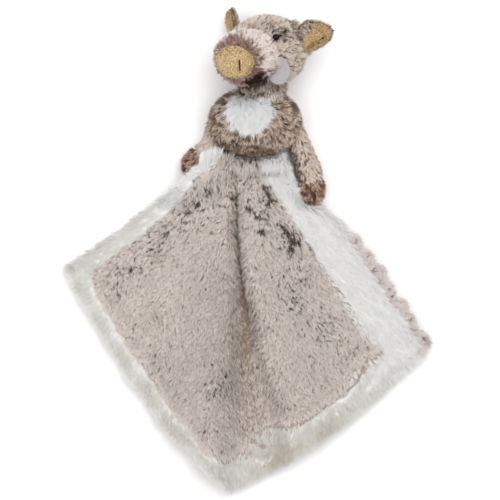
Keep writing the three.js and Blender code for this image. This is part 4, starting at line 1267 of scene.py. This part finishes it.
def make_head():
    in_mouth = over(MOUTH_OUTLINE, unevenness=7, patch=2.5 * MM, seed=79)
    head = make_small_body(
        "head", ("head_skin", "head_stuffing"), "head", 1.8 * MM, 2.8 * MM, "coat", 100, 6 * MM,
        head_comb, shaded(head_share, HEAD_SHADES, 0.9, 0.05, 0.5, 0.84), density=5.5,
    )
    muzzle = make_small_body(
        "muzzle", ("muzzle_skin", "muzzle_stuffing"), "head", 1.6 * MM, 2.8 * MM, "muzzle", 101, 6 * MM,
        muzzle_comb, shaded(muzzle_share, HEAD_SHADES, 0.9, 0.05, 0.3, 0.9), density=6,
        where=outside(in_mouth),
    )
    # Dark pile that paints the shadow in the mouth's gap
    pile(
        "mouth_shadow_pile", muzzle, "head", "darkest", 103, density=8, length=6 * MM, width=0.38 * MM,
        lift=(50, 20), comb=muzzle_comb, tuft=8, scatter=24, where=in_mouth,
    )
    pile(
        "cheek_pile", muzzle, "head", "muzzle", 104, density=4, length=8.5 * MM, width=0.38 * MM,
        lift=(45, 25), comb=towards((1, -0.25, 0.2)), tuft=10, scatter=18,
        tone=lambda place, luck: np.where(luck < 0.2, 0.1, 0.85),
        where=lambda place, normal: within(place, CHEEK_OUTLINE) * (place[:, 2] > CHEEK_LEVEL),
    )
    make_small_body(
        "chin", ("chin",), "head", 1.4 * MM, 2 * MM, "coat", 102, 7 * MM, towards((0.15, -1, 0.25)),
        sprinkled(0.4, 0.1, 0.85, 6 * MM, 73),
    )
    return head


# The stitched slit down the front of the snout pad, in the photograph's pixels
SLIT = [(240.0, 61), (240.4, 64.4), (240.8, 67.8), (240.4, 71.2)]
SLIT_LINE = (SLIT[0], SLIT[-1])
SLIT_DEPTH = 0.8 * MM
SLIT_WIDTH = 0.8 * MM
SLIT_HALF_WIDTH = 1.4 * MM
STITCH_LENGTH = 2.1 * MM
STITCH_RADIUS = 0.34 * MM
STITCH_RISE = 0.9 * MM
FACING_FRONT = 0.2  # least Z of the normals on the pad's front


def press_line(cloth, line, depth, half_width):
    """Presses a groove into the side of a body that faces up."""
    points = points_of(cloth.data)
    groove = np.exp(-(beside_line(points, *line) / half_width) ** 2)
    points[:, 2] -= depth * groove * (normals_of(cloth.data)[:, 2] > 0)
    set_points(cloth.data, points)


def velour_tone(line, half_width, seed):
    """Even short pile, with painted shade in a groove."""
    def tone(place, luck):
        groove = np.exp(-(beside_line(place, *line) / half_width) ** 2)
        return 0.6 + 0.4 * luck - 1.1 * groove + 0.3 * (soft_noise(place, 2.5 * MM, seed) - 0.5)
    return tone


def along_line(line, half_width):
    """Pile along a line, on the side that faces up."""
    return lambda place, normal: (beside_line(place, *line) < half_width) * (normal[:, 2] > 0)


def snout_length(place):
    """Length of the snout's pile, short in the slit."""
    return 2 * MM * (1 - 0.75 * np.exp(-(beside_line(place, *SLIT_LINE) / SLIT_HALF_WIDTH) ** 2))


def make_snout():
    cloth = stuffed_body(
        "snout_cloth", ("snout_pad",), "head", 0.9 * MM, 1.0 * MM, 4, "tan_backing",
    )
    press_line(cloth, SLIT_LINE, SLIT_DEPTH, SLIT_HALF_WIDTH)
    skin = surface(cloth)
    pile(
        "snout_velour", skin, "head", "tan", 110, density=14, length=snout_length, width=0.34 * MM,
        lift=(75, 35), comb=towards((-0.6, -0.5, 0.2)), pinch=0.6,
        tone=velour_tone(SLIT_LINE, 0.6 * SLIT_HALF_WIDTH, 74), tuft=10, scatter=60, fleck=0.12,
    )
    # Dark pile that paints the shade in the slit
    pile(
        "snout_slit_shade_pile", skin, "head", "darkest", 111, density=16, length=1.9 * MM, width=0.34 * MM,
        lift=(80, 60), comb=towards((0, -1, 0)), pull=0.4, scatter=40,
        where=along_line(SLIT_LINE, SLIT_WIDTH / 2),
    )
    make_stitches(skin)


def make_stitches(skin):
    """The slit's dark thread, laid on the snout pad's front."""
    points, normals, _ = skin
    front = points[normals[:, 2] > FACING_FRONT]
    shape = bmesh.new()
    for x, y in SLIT:
        spot = from_photo(x, y)
        level = front[np.argmin(np.linalg.norm(front[:, :2] - spot, axis=1)), 2] + STITCH_RISE
        turn = Matrix.Translation((*spot, level)) @ Matrix.Rotation(math.radians(90), 4, "X")
        bmesh.ops.create_uvsphere(
            shape, u_segments=8, v_segments=6, radius=1,
            matrix=turn @ Matrix.Diagonal((STITCH_RADIUS, STITCH_RADIUS, STITCH_LENGTH / 2, 1)),
        )
    # The sphere tool gives its faces in a new order each run, so they are sorted
    shape.verts.index_update()
    faces = sorted(tuple(v.index for v in face.verts) for face in shape.faces)
    mesh = bpy.data.meshes.new("snout_thread")
    mesh.from_pydata([v.co[:] for v in shape.verts], [], faces)
    shape.free()
    mesh.shade_smooth()
    mesh.materials.append(materials["thread"])
    stitches = linked("snout_thread", mesh)
    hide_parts("snout_stitch")
    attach(stitches, "head")


def make_tusks():
    for side in ("left", "right"):
        node = f"tusk_{side}"
        stuffed_body(node + "_felt", (node,), "head", 0.6 * MM, 0, 3, "felt")


# The ring of pile round an eye, from its middle, and the dark socket beside the right eye
LASH_FROM = 2.2 * MM
LASH_TO = 6 * MM
EYE_SOCKET = [(269, 36), (274, 31), (281, 32), (286, 35), (282, 41), (274, 42)]


def make_eyes(head_skin):
    """Domes, the dark socket, and mixed pile that leans over the eyes' edges."""
    pile(
        "eye_socket_pile", head_skin, "head", "darkest", 118, density=10, length=6 * MM,
        width=0.36 * MM, lift=(50, 20), comb=head_comb, tuft=8, scatter=30,
        where=over(EYE_SOCKET, 0, 3, 2 * MM, 81),
    )
    for seed, side in enumerate(("left", "right")):
        node = f"eye_{side}"
        middle = middle_of(node)

        def beside(place, normal, eye=middle):
            gap = np.linalg.norm(place - eye, axis=1)
            return ((gap > LASH_FROM) & (gap < LASH_TO)).astype(float)

        pile(
            node + "_pile", head_skin, "head", "coat", 116 + seed, density=7, length=4.6 * MM,
            width=0.34 * MM, lift=(80, 40), comb=lambda place, normal, eye=middle: unit(eye - place),
            tone=lambda place, luck: np.where(luck < 0.4, 0.02, 0.9), tuft=7, where=beside,
        )
        stuffed_body(node + "_dome", (node,), "head", 0.35 * MM, 0, 4, "gloss")


# The right ear's upper edge, folded forward, the crease in its lining, and its root, in pixels
EAR_FOLD = [
    (292, 20), (310, 14), (330, 14), (326, 20), (312, 24), (305, 32), (301, 43), (300, 56), (292, 56),
]
EAR_CREASE = ((308, 47), (323, 39))
EAR_CREASE_DEPTH = 3 * MM
EAR_CREASE_HALF_WIDTH = 1.5 * MM
EAR_CREASE_SHADE = 1.2 * MM  # half-width of its painted shade line
EAR_ROOT_OUTLINE = [(286, 18), (302, 22), (306, 40), (305, 56), (292, 58), (290, 36)]
EAR_SHARES = {"left": (0.8, 0.88, 0.88), "right": (1.1, 1.0, 1.0)}  # of the size that its solid has
EAR_SHIFTS = {"left": (0, 0, 0), "right": (2.4 * MM, -0.6 * MM, 0)}
EAR_TAPER = (1.2, 0.66)  # how high the right ear is at its root and at its tip
EAR_RISE = 3.6 * MM  # how far the right ear's tip is lifted
EAR_LENGTH = 30 * MM
EAR_WAYS = {"left": (0.6, 0.8, 0.3), "right": (0.7, 0.6, 0.3)}  # how the pile on its back lies
FACING_LINING = 0.8  # cosine from which an ear's back faces its lining and has no pile


def shape_ear(cloth, side, root):
    """Sizes an ear's cloth from its root, and tapers and lifts the right one."""
    scaled = np.array(EAR_SHARES[side]) * (points_of(cloth.data) - root)
    if side == "right":
        share = np.clip(scaled[:, 0] / EAR_LENGTH, 0, 1)
        scaled[:, 1] *= EAR_TAPER[0] + (EAR_TAPER[1] - EAR_TAPER[0]) * share
        scaled[:, 1] += EAR_RISE * share ** 2
    set_points(cloth.data, root + scaled + np.array(EAR_SHIFTS[side]))


def make_ear(side, seed):
    """An ear's back and lining with their pile, and the right ear's folded edge and the painted shade in
    its slit.
    """
    body = f"ear_{side}"
    root = joint_place(body + "_flop")
    back_node, lining_node = f"ear_back_{side}", f"ear_lining_{side}"
    back = stuffed_body(
        back_node + "_cloth", (back_node,), body, 0.9 * MM, 0.9 * MM, 4, backing="pale_backing",
    )
    lining = stuffed_body(
        lining_node + "_cloth", (lining_node,), body, 0.8 * MM, 0.3 * MM, 4,
        "tan_backing",
    )
    shape_ear(back, side, root)
    shape_ear(lining, side, root)
    folded = None
    if side == "right":
        folded = over(EAR_FOLD, unevenness=2, patch=3 * MM, seed=77)
        press_line(lining, EAR_CREASE, EAR_CREASE_DEPTH, EAR_CREASE_HALF_WIDTH)
    towards_lining = unit(middle_of(lining_node) - middle_of(back_node))
    pile(
        back_node + "_pile", surface(back), body, "coat", 120 + seed, density=5.5, length=4 * MM,
        width=0.44 * MM, lift=(50, 20), comb=towards(EAR_WAYS[side]),
        tone=sprinkled(0.2, 0.15, 0.95, 5 * MM, 75), pull=0.5,
        where=lambda place, normal: ((normal @ towards_lining) < FACING_LINING).astype(float),
    )
    skin = surface(lining)
    if side == "right":
        pile(
            "ear_fold_right_pile", skin, body, "coat", 126, density=6, length=4.6 * MM,
            width=0.46 * MM, lift=(55, 20), comb=towards((0.6, -0.2, 0.5)),
            tone=sprinkled(0.55, 0.1, 0.8, 4 * MM, 78), pull=0.5, scatter=26, where=folded,
        )
        # Dark pile that paints the shade in the lining's crease
        pile(
            "ear_slit_right_shade_pile", skin, body, "darkest", 127, density=14, length=2.2 * MM,
            width=0.34 * MM, lift=(80, 60), comb=away_from(root), pull=0.4, scatter=40,
            where=along_line(EAR_CREASE, SLIT_WIDTH),
        )
    pile(
        lining_node + "_velour", skin, body, "tan", 122 + seed, density=11, length=1.8 * MM,
        width=0.34 * MM, lift=(70, 35), comb=away_from(root),
        tone=velour_tone(EAR_CREASE, EAR_CREASE_SHADE, 76), tuft=8, pull=0.5, scatter=50,
        where=outside(folded) if folded else None, fleck=0.12,
    )


def make_ears(head_skin):
    pile(
        "ear_root_pile", head_skin, "head", "coat", 125, density=5, length=10 * MM, width=0.48 * MM,
        lift=(68, 35), comb=towards((1, 0.1, 0.2)), tone=sprinkled(0.35, 0.05, 0.85, 5 * MM, 80),
        tuft=7, where=over(EAR_ROOT_OUTLINE, 0),
    )
    make_ear("left", 0)
    make_ear("right", 1)


# Neck and waist

# The neck's part over the belly's white patch
NECK_WHITE = [(240, 91), (270, 91), (276, 112), (234, 112)]
# Painted shadow on the neck's pile under the head and chin
NECK_SHADES = [(288, 93, 6), (262, 90, 8), (240, 97, 4)]


def make_neck():
    over_belly = over(NECK_WHITE, 0, 4, 4 * MM, 61)
    neck = make_small_body(
        "neck", ("neck",), "neck", 1.8 * MM, 2 * MM, "coat", 130, 9 * MM,
        away_from(middle_of("neck"), (0, -0.9, 0.2)),
        shaded(lambda place: 0.25, NECK_SHADES, 0.6, 0.08, 0, 0.9), density=7, where=outside(over_belly),
    )
    pile(
        "neck_front_pile", neck, "neck", "white", 133, density=7, length=11 * MM,
        width=0.38 * MM, lift=(40, 5), comb=towards((0, -1, 0)), tuft=8, pull=0.4, scatter=16,
        tone=lambda place, luck: 0.75 + 0.2 * luck, skyward=0.2, where=over_belly,
    )


def make_waist():
    """The gathered corner of the blanket, whose pile runs down over the blanket's."""
    skin = surface(stuffed_body("waist_cloth", ("waist_seam",), "torso", 1.8 * MM, 2.5 * MM))
    frosted = over(CENTRE_OUTLINE)
    for name, kind, seed, tone, where, pull, skyward in (
        ("waist_pile", "frosted", 131, centre_tone, frosted, 0.4, 0),
        ("waist_white_pile", "white", 132, white_tone, outside(frosted), 0.1, 0.5),
    ):
        pile(
            name, skin, "torso", kind, seed, density=6, length=9 * MM, width=0.42 * MM,
            lift=(50, 5), comb=towards((0, -1, 0.1)), tone=tone, pull=pull, scatter=12, ragged=0.25,
            skyward=skyward, where=where,
        )


# Stage

FLOOR_SIZE = 12
WORLD_STRENGTH = 0.66
LIGHT_SIZE = 1.8


def make_stage():
    bpy.ops.mesh.primitive_plane_add(size=FLOOR_SIZE)
    floor = bpy.context.object
    floor.name = "floor"
    floor.data.materials.append(materials["floor"])

    world = bpy.data.worlds.new("studio")
    bpy.context.scene.world = world
    world.use_nodes = True
    background = world.node_tree.nodes["Background"]
    background.inputs["Color"].default_value = (1, 1, 1, 1)
    background.inputs["Strength"].default_value = WORLD_STRENGTH

    for name, place, power in (("key", (0.6, 0.8, 2.2), 38), ("fill", (-1.2, -0.2, 1.8), 16)):
        light = bpy.data.lights.new(name, "AREA")
        light.size = LIGHT_SIZE
        light.energy = power
        obj = linked(name, light)
        obj.location = place
        obj.rotation_euler = (-Vector(place)).to_track_quat("-Z", "Y").to_euler()

    camera = bpy.data.cameras.new("camera")
    camera.sensor_width = 36
    camera.lens = camera.sensor_width * (CAMERA_HEIGHT - VIEW_LEVEL) / VIEW_WIDTH
    camera.clip_end = 30
    obj = linked("camera", camera)
    obj.location = (*VIEW_CENTRE, CAMERA_HEIGHT)
    bpy.context.scene.camera = obj
    bpy.context.scene.view_settings.view_transform = "Standard"


make_blanket()
make_torso()
make_arm("left")
make_arm("right")
head_skin = make_head()
make_snout()
make_tusks()
make_eyes(head_skin)
make_ears(head_skin)
make_neck()
make_waist()
make_stage()
